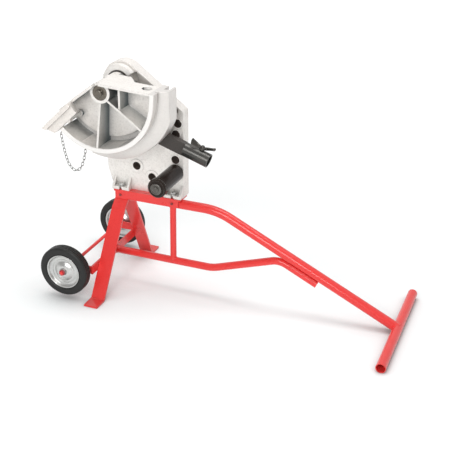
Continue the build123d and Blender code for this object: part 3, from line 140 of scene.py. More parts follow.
def grainGroup(s):
    inputs = [("Vector", "NodeSocketVector", None), ("Scale", "NodeSocketFloat", 300.0),
              ("Patch", "NodeSocketFloat", 14.0)]
    outputs = [("Height", "NodeSocketFloat"), ("Tone", "NodeSocketFloat"), ("Patches", "NodeSocketFloat")]
    tree, start, end = makeGroup("castGrain", inputs, outputs)
    fine = put(tree, "ShaderNodeTexNoise", s["fine"])
    pits = put(tree, "ShaderNodeTexVoronoi", s["pits"])
    broad = put(tree, "ShaderNodeTexNoise", s["broad"])
    for node in (fine, pits, broad):
        wire(tree, start.outputs["Vector"], node.inputs["Vector"])
    wire(tree, start.outputs["Scale"], fine.inputs["Scale"])
    wire(tree, mathNode(tree, "MULTIPLY", start.outputs["Scale"], s["pitScale"]), pits.inputs["Scale"])
    wire(tree, start.outputs["Patch"], broad.inputs["Scale"])
    pitDepth = spread(tree, pits.outputs["Distance"], 0.0, s["pitReach"])
    fineHeight = mathNode(tree, "MULTIPLY", fine.outputs[0], s["fineShare"])
    pitHeight = mathNode(tree, "MULTIPLY", pitDepth, s["pitShare"])
    height = mathNode(tree, "ADD", fineHeight, pitHeight)
    wire(tree, height, end.inputs["Height"])
    wire(tree, spread(tree, height, *s["toneFrom"]), end.inputs["Tone"])
    wire(tree, spread(tree, broad.outputs[0], *s["patchFrom"]), end.inputs["Patches"])
    return tree


# rounded look of an edge, and a broken mask along it
edgeSet = {"samples": 6, "noise": {"Scale": 90.0, "Detail": 3.0}, "bendFrom": (0.995, 0.86),
           "brokenFrom": (0.3, 0.62)}


def edgeGroup(s):
    inputs = [("Radius", "NodeSocketFloat", 0.002), ("Vector", "NodeSocketVector", None)]
    outputs = [("Normal", "NodeSocketVector"), ("Edge", "NodeSocketFloat")]
    tree, start, end = makeGroup("edgeWear", inputs, outputs)
    soft = put(tree, "ShaderNodeBevel", samples=s["samples"])
    wire(tree, start.outputs["Radius"], soft.inputs["Radius"])
    plain = put(tree, "ShaderNodeNewGeometry")
    dot = put(tree, "ShaderNodeVectorMath", operation="DOT_PRODUCT")
    wire(tree, soft.outputs["Normal"], dot.inputs[0])
    wire(tree, plain.outputs["Normal"], dot.inputs[1])
    rough = put(tree, "ShaderNodeTexNoise", s["noise"])
    wire(tree, start.outputs["Vector"], rough.inputs["Vector"])
    edge = spread(tree, dot.outputs["Value"], *s["bendFrom"])
    broken = spread(tree, rough.outputs[0], *s["brokenFrom"])
    edge = mathNode(tree, "MULTIPLY", edge, broken, clamp=True)
    wire(tree, soft.outputs["Normal"], end.inputs["Normal"])
    wire(tree, edge, end.inputs["Edge"])
    return tree


# thin dust on faces that look up
dustSet = {"cloud": {"Scale": 22.0, "Detail": 5.0, "Roughness": 0.6}, "upFrom": (0.35, 1.0),
           "thinFrom": (0.38, 0.7)}


def dustGroup(s):
    inputs = [("Vector", "NodeSocketVector", None)]
    tree, start, end = makeGroup("settledDust", inputs, [("Mask", "NodeSocketFloat")])
    plain = put(tree, "ShaderNodeNewGeometry")
    parts = put(tree, "ShaderNodeSeparateXYZ")
    wire(tree, plain.outputs["Normal"], parts.inputs[0])
    cloud = put(tree, "ShaderNodeTexNoise", s["cloud"])
    wire(tree, start.outputs["Vector"], cloud.inputs["Vector"])
    up = spread(tree, parts.outputs["Z"], *s["upFrom"])
    mask = mathNode(tree, "MULTIPLY", up, spread(tree, cloud.outputs[0], *s["thinFrom"]), clamp=True)
    wire(tree, mask, end.inputs["Mask"])
    return tree


# rings left by turning, about the Y axis through a centre
turnedSet = {"noise": {"Detail": 2.0}, "depthShare": 0.7}


def turnedGroup(s):
    inputs = [("Vector", "NodeSocketVector", None), ("Centre", "NodeSocketVector", (0, 0, 0)),
              ("Scale", "NodeSocketFloat", 900.0)]
    outputs = [("Lines", "NodeSocketFloat"), ("Radius", "NodeSocketFloat")]
    tree, start, end = makeGroup("turnedLines", inputs, outputs)
    shift = put(tree, "ShaderNodeVectorMath", operation="SUBTRACT")
    wire(tree, start.outputs["Vector"], shift.inputs[0])
    wire(tree, start.outputs["Centre"], shift.inputs[1])
    parts = put(tree, "ShaderNodeSeparateXYZ")
    wire(tree, shift.outputs[0], parts.inputs[0])
    across = mathNode(tree, "MULTIPLY", parts.outputs["X"], parts.outputs["X"])
    upward = mathNode(tree, "MULTIPLY", parts.outputs["Z"], parts.outputs["Z"])
    radius = mathNode(tree, "SQRT", mathNode(tree, "ADD", across, upward))
    along = mathNode(tree, "ADD", radius, mathNode(tree, "MULTIPLY", parts.outputs["Y"], s["depthShare"]))
    lines = put(tree, "ShaderNodeTexNoise", s["noise"], noise_dimensions="1D")
    wire(tree, along, lines.inputs["W"])
    wire(tree, start.outputs["Scale"], lines.inputs["Scale"])
    wire(tree, lines.outputs[0], end.inputs["Lines"])
    wire(tree, radius, end.inputs["Radius"])
    return tree


# painted shade: darker skin in corners and pockets, wherever ambient occlusion finds other surfaces close
cornerShadeSet = {"samples": 6, "openTo": (0.95, 0.25)}


def cornerShadeGroup(s):
    inputs = [("Reach", "NodeSocketFloat", 0.03)]
    tree, start, end = makeGroup("paintedCornerShade", inputs, [("Mask", "NodeSocketFloat")])
    shade = put(tree, "ShaderNodeAmbientOcclusion", samples=s["samples"], only_local=True)
    wire(tree, start.outputs["Reach"], shade.inputs["Distance"])
    wire(tree, spread(tree, shade.outputs["AO"], *s["openTo"]), end.inputs["Mask"])
    return tree


# wall of one drilled hole along Y
def boreGroup():
    inputs = [("Vector", "NodeSocketVector", None), ("Centre", "NodeSocketVector", (0, 0, 0)),
              ("Radius", "NodeSocketFloat", 0.0165)]
    tree, start, end = makeGroup("darkBoreWall", inputs, [("Mask", "NodeSocketFloat")])
    flat = put(tree, "ShaderNodeVectorMath", {1: (1, 0, 1)}, operation="MULTIPLY")  # leaves the depth out
    wire(tree, start.outputs["Vector"], flat.inputs[0])
    gap = put(tree, "ShaderNodeVectorMath", operation="DISTANCE")
    wire(tree, flat.outputs[0], gap.inputs[0])
    wire(tree, start.outputs["Centre"], gap.inputs[1])
    inside = mathNode(tree, "LESS_THAN", gap.outputs["Value"], start.outputs["Radius"])
    wire(tree, inside, end.inputs["Mask"])
    return tree


castGrain = grainGroup(grainSet)
edgeWear = edgeGroup(edgeSet)
settledDust = dustGroup(dustSet)
turnedLines = turnedGroup(turnedSet)
paintedCornerShade = cornerShadeGroup(cornerShadeSet)
darkBoreWall = boreGroup()
print("node groups ready")

dustRough = 0.3  # how much rougher full dust makes a skin


# one material with grain, worn edges, dust and, where a look asks for it, painted shade in corners; other
# finishes build on the sockets it returns
def makeSurface(name, look):
    mat = bpy.data.materials.new(name)
    mat.use_nodes = True
    tree = mat.node_tree
    tree.nodes.clear()
    out = put(tree, "ShaderNodeOutputMaterial")
    shader = put(tree, "ShaderNodeBsdfPrincipled", look["shader"])
    wire(tree, shader.outputs[0], out.inputs[0])
    place = put(tree, "ShaderNodeTexCoord")
    grain = useGroup(tree, castGrain, {"Scale": look["grain"], "Patch": look["patch"]})
    edge = useGroup(tree, edgeWear, {"Radius": look["edge"]})
    dust = useGroup(tree, settledDust)
    for node in (grain, edge, dust):
        wire(tree, place.outputs["Object"], node.inputs["Vector"])
    colour = mixColour(tree, grain.outputs["Tone"], look["dark"], look["light"])
    stain = mathNode(tree, "MULTIPLY", grain.outputs["Patches"], look["stainAmount"])
    colour = mixColour(tree, stain, colour, look["stain"])
    worn = mathNode(tree, "MULTIPLY", edge.outputs["Edge"], look["edgeAmount"])
    colour = mixColour(tree, worn, colour, look["edgeColour"])
    # painted shade in corners and pockets
    if look.get("cornerShade"):
        cornerShade = useGroup(tree, paintedCornerShade, {"Reach": look["cornerShadeReach"]})
        deepShade = mathNode(tree, "MULTIPLY", cornerShade.outputs["Mask"], look["cornerShade"], clamp=True)
        colour = mixColour(tree, deepShade, colour, look["cornerShadeColour"])
    dusty = mathNode(tree, "MULTIPLY", dust.outputs["Mask"], look["dust"])
    colour = mixColour(tree, dusty, colour, look["dustColour"])
    rough = spread(tree, grain.outputs["Patches"], 0.0, 1.0, *look["rough"])
    rough = mathNode(tree, "ADD", rough, mathNode(tree, "MULTIPLY", dusty, dustRough), clamp=True)
    bump = put(tree, "ShaderNodeBump", {"Strength": look["bump"], "Distance": look["bumpDepth"]})
    wire(tree, grain.outputs["Height"], bump.inputs["Height"])
    wire(tree, edge.outputs["Normal"], bump.inputs["Normal"])
    wire(tree, colour, shader.inputs["Base Color"])
    wire(tree, rough, shader.inputs["Roughness"])
    wire(tree, bump.outputs[0], shader.inputs["Normal"])
    return {"mat": mat, "tree": tree, "shader": shader, "place": place, "colour": colour, "rough": rough}


redLook = {"dark": (0.76, 0.032, 0.029), "light": (0.82, 0.045, 0.041),
           "stain": (0.74, 0.034, 0.031), "stainAmount": 0.15,
           "edgeColour": (0.92, 0.12, 0.09), "edgeAmount": 0.3,
           "dust": 0.05, "dustColour": (0.85, 0.4, 0.35),
           # corner keys: painted shade, a darker red in corners
           "cornerShade": 0.5, "cornerShadeReach": 0.02, "cornerShadeColour": (0.5, 0.012, 0.01),
           "grain": 260.0, "patch": 9.0, "edge": 0.0016, "rough": (0.27, 0.31),
           "bump": 0.04, "bumpDepth": 0.0005,
           "shader": {"Coat Weight": 0.4, "Coat Roughness": 0.08, "IOR": 1.45, "Specular IOR Level": 0.35}}
redPaint = makeSurface("redPaint", redLook)["mat"]

castLook = {"dark": (0.74, 0.708, 0.672), "light": (0.90, 0.866, 0.828),
            "stain": (0.70, 0.665, 0.625), "stainAmount": 0.3,
            "edgeColour": (0.93, 0.91, 0.88), "edgeAmount": 0.6,
            "dust": 0.05, "dustColour": (0.85, 0.84, 0.82),
            # corner keys: painted shade, dark grey in corners and pockets
            "cornerShade": 0.5, "cornerShadeReach": 0.025, "cornerShadeColour": (0.2, 0.2, 0.195),
            "grain": 190.0, "patch": 42.0, "edge": 0.0028, "rough": (0.4, 0.54),
            "bump": 0.3, "bumpDepth": 0.0014,
            "shader": {"Metallic": 0.45}}

# housing skin, with near-black, matt, non-metal walls in its pin holes
holeLook = {"radius": 0.0166, "amount": 0.97, "colour": (0.055, 0.032, 0.022)}


def makeHousing(look, hole):
    surface = makeSurface("castHousing", look)
    tree = surface["tree"]
    shader = surface["shader"]
    spots = [m["pos_m"] for m in frame["record"]["mounts"] if m["name"].startswith("support_hole")]
    inBore = None
    for spot in spots:
        bore = useGroup(tree, darkBoreWall, {"Centre": (spot[0], 0, spot[2]), "Radius": hole["radius"]})
        wire(tree, surface["place"].outputs["Object"], bore.inputs["Vector"])
        inBore = bore.outputs[0] if inBore is None else mathNode(tree, "MAXIMUM", inBore, bore.outputs[0])
    dark = mathNode(tree, "MULTIPLY", inBore, hole["amount"])
    wire(tree, mixColour(tree, dark, surface["colour"], hole["colour"]), shader.inputs["Base Color"])
    wire(tree, mathNode(tree, "MAXIMUM", surface["rough"], inBore), shader.inputs["Roughness"])
    wire(tree, spread(tree, inBore, 0.0, 1.0, look["shader"]["Metallic"], 0.0), shader.inputs["Metallic"])
    return surface["mat"]


castHousing = makeHousing(castLook, holeLook)

# shoe skin: pocket walls are smoother and carry a cool painted shade, darker towards the web, and the turned
# rim and groove are bright
shoeLook = dict(castLook, cornerShadeReach=0.03, cornerShadeColour=(0.15, 0.165, 0.17))
shoeZone = {"centre": (-0.44775, 0.0, 0.838), "rings": 700.0, "rimFrom": 0.2068,
            # wall colour with the depth and rise keys: painted shade on the pocket walls; cornerShade keys:
            # painted shade in corners
            "wall": (0.07, 0.098, 0.11), "wallMetal": 0.6, "sideUnder": 0.5, "topOver": 0.93,
            "depthFrom": (-0.118, -0.186), "depthAmount": (0.95, 0.3),
            "riseFrom": (0.1, 0.85), "riseAmount": (1.0, 0.55),
            "turned": (0.66, 0.63, 0.605), "linesFrom": (0.3, 0.7), "linesAmount": (0.5, 0.85),
            "rimFace": (0.87, 0.845, 0.82), "faceOver": 0.97, "faceAmount": 0.8, "faceMetal": 0.35,
            "smoother": 0.12}


def makeShoe(look, zone):
    surface = makeSurface("castShoe", look)
    tree = surface["tree"]
    shader = surface["shader"]
    rings = useGroup(tree, turnedLines, {"Centre": zone["centre"], "Scale": zone["rings"]})
    wire(tree, surface["place"].outputs["Object"], rings.inputs["Vector"])
    plain = put(tree, "ShaderNodeNewGeometry")
    normal = put(tree, "ShaderNodeSeparateXYZ")
    wire(tree, plain.outputs["Normal"], normal.inputs[0])
    place = put(tree, "ShaderNodeSeparateXYZ")
    wire(tree, surface["place"].outputs["Object"], place.inputs[0])
    onRim = mathNode(tree, "GREATER_THAN", rings.outputs["Radius"], zone["rimFrom"])
    towardsY = mathNode(tree, "ABSOLUTE", normal.outputs["Y"])
    # walls between the web and the front edge; painted shade darkens them, more towards the web and where
    # they do not face up
    side = mathNode(tree, "LESS_THAN", towardsY, zone["sideUnder"])
    notTop = mathNode(tree, "LESS_THAN", normal.outputs["Z"], zone["topOver"])
    offRim = mathNode(tree, "SUBTRACT", 1.0, onRim)
    wall = mathNode(tree, "MULTIPLY", mathNode(tree, "MULTIPLY", side, notTop), offRim)
    deepShade = spread(tree, place.outputs["Y"], *zone["depthFrom"], *zone["depthAmount"])
    rising = spread(tree, normal.outputs["Z"], *zone["riseFrom"], *zone["riseAmount"])
    deepShade = mathNode(tree, "MULTIPLY", deepShade, rising)
    colour = mixColour(tree, mathNode(tree, "MULTIPLY", wall, deepShade), surface["colour"], zone["wall"])
    # turned rim and its front face
    turned = spread(tree, rings.outputs["Lines"], *zone["linesFrom"], *zone["linesAmount"])
    colour = mixColour(tree, mathNode(tree, "MULTIPLY", turned, onRim), colour, zone["turned"])
    facing = mathNode(tree, "GREATER_THAN", towardsY, zone["faceOver"])
    rimFace = mathNode(tree, "MULTIPLY", onRim, facing)
    colour = mixColour(tree, mathNode(tree, "MULTIPLY", rimFace, zone["faceAmount"]), colour, zone["rimFace"])
    wire(tree, colour, shader.inputs["Base Color"])
    smooth = mathNode(tree, "MAXIMUM", wall, onRim)
    smooth = mathNode(tree, "MULTIPLY", smooth, zone["smoother"])
    wire(tree, mathNode(tree, "SUBTRACT", surface["rough"], smooth), shader.inputs["Roughness"])
    metal = spread(tree, wall, 0.0, 1.0, look["shader"]["Metallic"], zone["wallMetal"])
    metal = mathNode(tree, "SUBTRACT", metal, mathNode(tree, "MULTIPLY", rimFace, zone["faceMetal"]))
    wire(tree, metal, shader.inputs["Metallic"])
    return surface["mat"]


castShoe = makeShoe(shoeLook, shoeZone)

yokeLook = dict(castLook, dark=(0.84, 0.81, 0.775), light=(0.95, 0.92, 0.885), shader={"Metallic": 0.2})
castPlain = makeSurface("castPlain", yokeLook)["mat"]

hookLook = dict(castLook, dark=(0.74, 0.69, 0.65), light=(0.88, 0.83, 0.78), stain=(0.66, 0.61, 0.57))
castHook = makeSurface("castHook", hookLook)["mat"]

leverLook = {"dark": (0.036, 0.031, 0.028), "light": (0.058, 0.05, 0.045),
             "stain": (0.075, 0.06, 0.052), "stainAmount": 0.3,
             "edgeColour": (0.3, 0.28, 0.26), "edgeAmount": 0.5,
             "dust": 0.08, "dustColour": (0.3, 0.28, 0.26),
             "grain": 420.0, "patch": 20.0, "edge": 0.0014, "rough": (0.34, 0.48),
             "bump": 0.2, "bumpDepth": 0.0007,
             "shader": {"Metallic": 0.35}}
leverBlack = makeSurface("leverBlack", leverLook)["mat"]

socketLook = dict(leverLook, dark=(0.055, 0.055, 0.052), light=(0.085, 0.086, 0.082), rough=(0.22, 0.34),
                  shader={"Metallic": 0.75})
socketSteel = makeSurface("socketSteel", socketLook)["mat"]

wingLook = dict(socketLook, dark=(0.05, 0.047, 0.043), light=(0.09, 0.085, 0.078), edge=0.001, edgeAmount=0.8,
                edgeColour=(0.5, 0.48, 0.45))
wingSteel = makeSurface("wingSteel", wingLook)["mat"]

rollerLook = {"dark": (0.016, 0.011, 0.009), "light": (0.026, 0.019, 0.016),
              "stain": (0.034, 0.022, 0.018), "stainAmount": 0.4,
              "edgeColour": (0.4, 0.39, 0.36), "edgeAmount": 0.7,
              "dust": 0.05, "dustColour": (0.3, 0.28, 0.26),
              "grain": 360.0, "patch": 24.0, "edge": 0.0016, "rough": (0.16, 0.22), "bump": 0.06,
              "bumpDepth": 0.0005, "shader": {"Specular IOR Level": 0.12}}
rollerBlack = makeSurface("rollerBlack", rollerLook)["mat"]

capLook = dict(rollerLook, dark=(0.09, 0.085, 0.076), light=(0.15, 0.142, 0.13), rough=(0.2, 0.3),
               shader={"Metallic": 0.7})
rollerEnd = makeSurface("rollerEnd", capLook)["mat"]

shaftLook = {"dark": (0.09, 0.08, 0.068), "light": (0.15, 0.136, 0.118),
             "stain": (0.22, 0.18, 0.13), "stainAmount": 0.35,
             "edgeColour": (0.6, 0.58, 0.55), "edgeAmount": 0.7,
             "dust": 0.04, "dustColour": (0.4, 0.38, 0.35),
             "grain": 500.0, "patch": 30.0, "edge": 0.0018, "rough": (0.2, 0.34),
             "bump": 0.1, "bumpDepth": 0.0005,
             "shader": {"Metallic": 0.85}}
shaftSteel = makeSurface("shaftSteel", shaftLook)["mat"]

zincLook = {"dark": (0.5, 0.5, 0.49), "light": (0.66, 0.66, 0.65),
            "stain": (0.48, 0.47, 0.44), "stainAmount": 0.3,
            "edgeColour": (0.85, 0.85, 0.84), "edgeAmount": 0.6,
            "dust": 0.05, "dustColour": (0.6, 0.58, 0.55),
            "grain": 420.0, "patch": 26.0, "edge": 0.0012, "rough": (0.22, 0.36),
            "bump": 0.08, "bumpDepth": 0.0005,
            "shader": {"Metallic": 0.9}}
zincSteel = makeSurface("zincSteel", zincLook)["mat"]

discLook = dict(zincLook, dark=(0.58, 0.58, 0.57), light=(0.68, 0.68, 0.67), grain=240.0, rough=(0.28, 0.36),
                # corner keys: painted shade in the dish's corners and folds
                bump=0.04, cornerShade=0.7, cornerShadeReach=0.012, cornerShadeColour=(0.16, 0.165, 0.17),
                shader={"Metallic": 1.0})
wheelDisc = makeSurface("wheelDisc", discLook)["mat"]

chainLook = dict(zincLook, dark=(0.2, 0.2, 0.19), light=(0.34, 0.34, 0.33), edge=0.0004, rough=(0.25, 0.4))
chainSteel = makeSurface("chainSteel", chainLook)["mat"]

screwRedLook = dict(redLook, dark=(0.16, 0.02, 0.018), light=(0.25, 0.03, 0.026), stain=(0.1, 0.02, 0.02))
screwRed = makeSurface("screwRed", screwRedLook)["mat"]

nutRedLook = dict(redLook, dark=(0.36, 0.028, 0.035), light=(0.48, 0.04, 0.05), stain=(0.25, 0.02, 0.03))
nutRed = makeSurface("nutRed", nutRedLook)["mat"]

tyreLook = {"dark": (0.01, 0.01, 0.01), "light": (0.02, 0.02, 0.0195),
            "stain": (0.03, 0.029, 0.028), "stainAmount": 0.3,
            "edgeColour": (0.12, 0.12, 0.115), "edgeAmount": 0.3,
            "dust": 0.08, "dustColour": (0.25, 0.24, 0.22),
            # corner keys: painted shade, near black in grooves and creases
            "cornerShade": 0.8, "cornerShadeReach": 0.008, "cornerShadeColour": (0.008, 0.008, 0.008),
            "grain": 380.0, "patch": 30.0, "edge": 0.0012, "rough": (0.38, 0.5),
            "bump": 0.2, "bumpDepth": 0.0006,
            "shader": {"Specular IOR Level": 0.3}}
tyreRubber = makeSurface("tyreRubber", tyreLook)["mat"]

bronzeLook = {"dark": (0.42, 0.25, 0.1), "light": (0.56, 0.36, 0.16),
              "stain": (0.3, 0.17, 0.07), "stainAmount": 0.4,
              "edgeColour": (0.75, 0.55, 0.3), "edgeAmount": 0.5,
              "dust": 0.03, "dustColour": (0.5, 0.42, 0.3),
              "grain": 460.0, "patch": 30.0, "edge": 0.0012, "rough": (0.3, 0.45), "bump": 0.1,
              "bumpDepth": 0.0005, "shader": {"Metallic": 0.9}}
bearingBronze = makeSurface("bearingBronze", bronzeLook)["mat"]
print("materials ready")

finishes = [
    (redPaint, ["main_tube", "lower_tube", "strut_tube", "foot_bar", "mounting_plate", "front_leg",
                "rear_leg", "leg_cross_bar", "front_axle_arm", "rear_axle_arm", "axle"]),
    (nutRed, ["axle_nuts"]),
    (screwRed, ["beam_screws"]),
    (castHousing, ["housing"]),
    (castShoe, ["bending_shoe"]),
    (castPlain, ["lever_yoke", "shaft_spacer"]),
    (castHook, ["conduit_hook"]),
    (leverBlack, ["lever_bar", "thrust_washer", "ratchet_sector", "ratchet_screws", "drive_pawl",
                  "drive_pawl_pin", "drive_pawl_spring", "holding_pawl", "holding_pawl_pin",
                  "holding_pawl_spring", "lever_stop_pin"]),
    (socketSteel, ["handle_socket", "wing_screw", "housing_bolts"]),
    (rollerBlack, ["roller"]),
    (rollerEnd, ["roller_cap", "roller_pin"]),
    (shaftSteel, ["main_shaft", "shaft_nut"]),
    (zincSteel, ["axle_spacers", "axle_washers", "front_wheel_sleeve", "rear_wheel_sleeve", "housing_washers",
                 "shaft_washer", "hook_pin"]),
    (wheelDisc, ["front_wheel_outer_disc", "front_wheel_inner_disc", "rear_wheel_outer_disc",
                 "rear_wheel_inner_disc"]),
    (chainSteel, ["keeper_chain", "chain_eyes"]),
    (tyreRubber, ["front_tyre", "rear_tyre"]),
    (bearingBronze, ["shoe_bush"]),
]
for material, names in finishes:
    for name in names:
        nodes[name].data.materials.clear()
        nodes[name].data.materials.append(material)
print("finishes given to", sum(len(names) for material, names in finishes), "nodes")

metresPerMm = 0.001  # new pieces are drawn in millimetres
wheelCentre = (-593.75, 121.5)  # X and Z of the axle


def newPiece(name, bm, material, body, levels=0):
    bmesh.ops.scale(bm, vec=(metresPerMm, metresPerMm, metresPerMm), verts=bm.verts)
    mesh = bpy.data.meshes.new(name)
    bm.to_mesh(mesh)
    bm.free()
    mesh.materials.append(material)
    mesh.shade_smooth()
    piece = bpy.data.objects.new(name, mesh)
    scene.collection.objects.link(piece)
    if levels:
        soft = piece.modifiers.new("smoother", "SUBSURF")
        soft.levels = levels
        soft.render_levels = levels
    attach(piece, body)
    return piece


# what was added to a mesh since its known vertices were noted
def freshVerts(bm, known):
    return [v for v in bm.verts if v not in known]


def freshEdges(bm, known):
    return [e for e in bm.edges if e.verts[0] not in known]


def freshFaces(bm, known):
    return [f for f in bm.faces if f.verts[0] not in known]


def roundEdges(bm, edges, size):
    bmesh.ops.bevel(bm, geom=edges, offset=size, affect="EDGES", segments=2, profile=0.5, material=-1)


# profile of radius and rise, turned once round Z
def spinProfile(bm, profile, steps):
    points = [bm.verts.new((radius, 0, rise)) for radius, rise in profile]
    edges = [bm.edges.new(pair) for pair in zip(points, points[1:])]
    bmesh.ops.spin(bm, geom=points + edges, cent=(0, 0, 0), axis=(0, 0, 1), angle=math.tau, steps=steps,
                   use_merge=True)
    bmesh.ops.remove_doubles(bm, verts=bm.verts, dist=0.01)
    bmesh.ops.recalc_face_normals(bm, faces=bm.faces)


# welds of the stand; the side lines are drawn on both sides
weldSet = {
    "pitch": 5.0, "wave": 0.13, "stepsPerWave": 4, "leastSteps": 8, "lineSides": 10, "ringSides": 8,
    "endSize": 0.45, "endReach": 1.5, "leastRise": 2.0, "slope": 25.8, "lowest": 0.3,
    "rings": (
        # strut under the main tube and on the lower tube
        {"at": (-240.75, 0, 371), "turn": "down", "radius": 12.5, "bead": 2.6, "host": 19.0, "waves": 16},
        {"at": (-240.75, 0, 119), "turn": "up", "radius": 12.5, "bead": 2.6, "host": 15.0, "waves": 16},
        # main tube on the floor bar
        {"at": (676.25, 0, 19), "turn": "slope", "radius": 19.0, "bead": 3.0, "host": 19.0, "waves": 24},
        # lower tube on the cross bar
        {"at": (-492.4, 0, 119), "turn": "front", "radius": 15.0, "bead": 2.6, "host": 0.0, "waves": 18},
    ),
    "plateLine": {"from": (-480, 16.6, 386.4), "to": (-206, 16.6, 386.4), "bead": 4.6},
    "sideLines": (
        {"from": (240.0, 13.86, 208.2), "to": (357.0, 13.86, 151.65), "bead": 5.0},  # lower tube's tail
        {"from": (-482, 18.4, 361.0), "to": (-428, 18.4, 361.0), "bead": 3.2},  # legs, outer side
        {"from": (-482, 8.6, 353.6), "to": (-428, 8.6, 353.6), "bead": 3.2},  # legs, under the beam
        {"from": (-501.2, 201.6, 107.5), "to": (-501.2, 201.6, 135.5), "bead": 2.6},  # axle arms
        {"from": (-492.6, 148.0, 139.0), "to": (-481.0, 148.0, 139.4), "bead": 2.6},  # cross bar's ends
    ),
}


# straight bead from one point to another
def weldLine(bm, start, end, radius, s):
    known = set(bm.verts)
    along = Vector(end) - Vector(start)
    steps = max(s["leastSteps"], int(along.length / s["pitch"] * s["stepsPerWave"]))
    ring = bmesh.ops.create_circle(bm, segments=s["lineSides"], radius=radius)["verts"]
    edges = list({e for v in ring for e in v.link_edges})
    bmesh.ops.spin(bm, geom=ring + edges, cent=(0, 0, 0), axis=(0, 0, 1), dvec=(0, 0, along.length / steps),
                   angle=0.0, steps=steps, use_merge=False)
    made = freshVerts(bm, known)
    for v in made:
        wave = 1 + s["wave"] * math.cos(v.co.z / s["pitch"] * math.tau)
        nearEnd = min(v.co.z, along.length - v.co.z)
        taper = s["endSize"] + (1 - s["endSize"]) * min(1.0, nearEnd / (radius * s["endReach"]))
        v.co.x *= wave * taper
        v.co.y *= wave * taper
    rims = [e for e in freshEdges(bm, known) if e.is_boundary]
    bmesh.ops.holes_fill(bm, edges=rims, sides=0)
    turn = along.to_track_quat("Z", "Y").to_matrix().to_4x4()
    bmesh.ops.transform(bm, matrix=Matrix.Translation(start) @ turn, verts=made)


# bead round a tube's end; its host, if any, is the tube that it sits on, which lies along the ring's own X
def weldRing(bm, place, ring, s):
    known = set(bm.verts)
    stand = Matrix.Translation((ring["radius"], 0, 0)) @ Matrix.Rotation(math.radians(90), 4, "X")
    bead = bmesh.ops.create_circle(bm, segments=s["ringSides"], radius=ring["bead"], matrix=stand)["verts"]
    edges = list({e for v in bead for e in v.link_edges})
    bmesh.ops.spin(bm, geom=bead + edges, cent=(0, 0, 0), axis=(0, 0, 1), angle=math.tau,
                   steps=ring["waves"] * s["stepsPerWave"], use_merge=True)
    made = freshVerts(bm, known)
    for v in made:
        turn = math.atan2(v.co.y, v.co.x)
        core = Vector((ring["radius"] * math.cos(turn), ring["radius"] * math.sin(turn), 0))
        v.co = core + (v.co - core) * (1 + s["wave"] * math.cos(turn * ring["waves"]))
        if ring["host"]:
            v.co.z += math.sqrt(max(ring["host"] ** 2 - v.co.y ** 2, s["leastRise"] ** 2))
    bmesh.ops.recalc_face_normals(bm, faces=freshFaces(bm, known))
    bmesh.ops.transform(bm, matrix=place, verts=made)


def makeWelds(s):
    bm = bmesh.new()
    quarter = math.radians(90)
    lean = math.radians(s["slope"] - 90)
    turns = {"up": Matrix.Identity(4), "down": Matrix.Rotation(math.pi, 4, "X"),
             "slope": Matrix.Rotation(lean, 4, "Y") @ Matrix.Rotation(quarter, 4, "Z"),
             "front": Matrix.Rotation(quarter, 4, "Y")}
    for ring in s["rings"]:
        weldRing(bm, Matrix.Translation(ring["at"]) @ turns[ring["turn"]], ring, s)
    plate = s["plateLine"]
    weldLine(bm, plate["from"], plate["to"], plate["bead"], s)
    for side in (-1, 1):
        for line in s["sideLines"]:
            start, end = ((x, side * y, z) for x, y, z in (line["from"], line["to"]))
            weldLine(bm, start, end, line["bead"], s)
    for v in bm.verts:
        v.co.z = max(v.co.z, s["lowest"])  # no bead reaches under the feet
    newPiece("stand_welds", bm, redPaint, "stand")


makeWelds(weldSet)
print("welds made")

# chamfered nuts on the axle ends
nutSet = {"from": 267.4, "to": 275.4, "flats": 22.0, "bore": 7.0, "boreSides": 18, "chamfer": 1.4,
          "turn": 9.0, "outside": 1.2}


def makeNuts(s):
    bm = bmesh.new()
    beyond = s["bore"] * s["outside"]
    for side in (-1, 1):
        known = set(bm.verts)
        outer = bmesh.ops.create_circle(bm, segments=6, radius=s["flats"] / math.sqrt(3))["verts"]
        inner = bmesh.ops.create_circle(bm, segments=s["boreSides"], radius=s["bore"])["verts"]
        loops = list({e for v in outer + inner for e in v.link_edges})
        bmesh.ops.bridge_loops(bm, edges=loops)
        grown = bmesh.ops.extrude_face_region(bm, geom=freshFaces(bm, known))
        up = [g for g in grown["geom"] if isinstance(g, bmesh.types.BMVert)]
        bmesh.ops.translate(bm, vec=(0, 0, s["to"] - s["from"]), verts=up)
        bmesh.ops.recalc_face_normals(bm, faces=freshFaces(bm, known))
        corners = [e for e in freshEdges(bm, known) if e.calc_length() > s["bore"]
                   and all(v.co.xy.length > beyond for v in e.verts)]
        roundEdges(bm, corners, s["chamfer"])
        face = Matrix.Translation((wheelCentre[0], side * s["from"], wheelCentre[1]))
        face = face @ Matrix.Rotation(math.radians(-90 * side), 4, "X")
        face = face @ Matrix.Rotation(math.radians(s["turn"] * side), 4, "Z")
        bmesh.ops.transform(bm, matrix=face, verts=freshVerts(bm, known))
    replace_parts(newPiece("axle_nuts_chamfered", bm, nutRed, "stand"), "axle_nuts")


makeNuts(nutSet)

# bolts that hold the housing's feet
boltSet = {"spots": ((-456.75, -8.5), (-234.75, -8.5)), "shank": 6.0, "shankSides": 24, "low": 382.0,
           "seat": 412.5, "top": 420.5, "flats": 19.0, "chamfer": 1.2, "turn": 17.0,
           "crownArea": 80.0, "crownUp": 0.9, "crownInset": 2.2, "crownRise": 0.5}


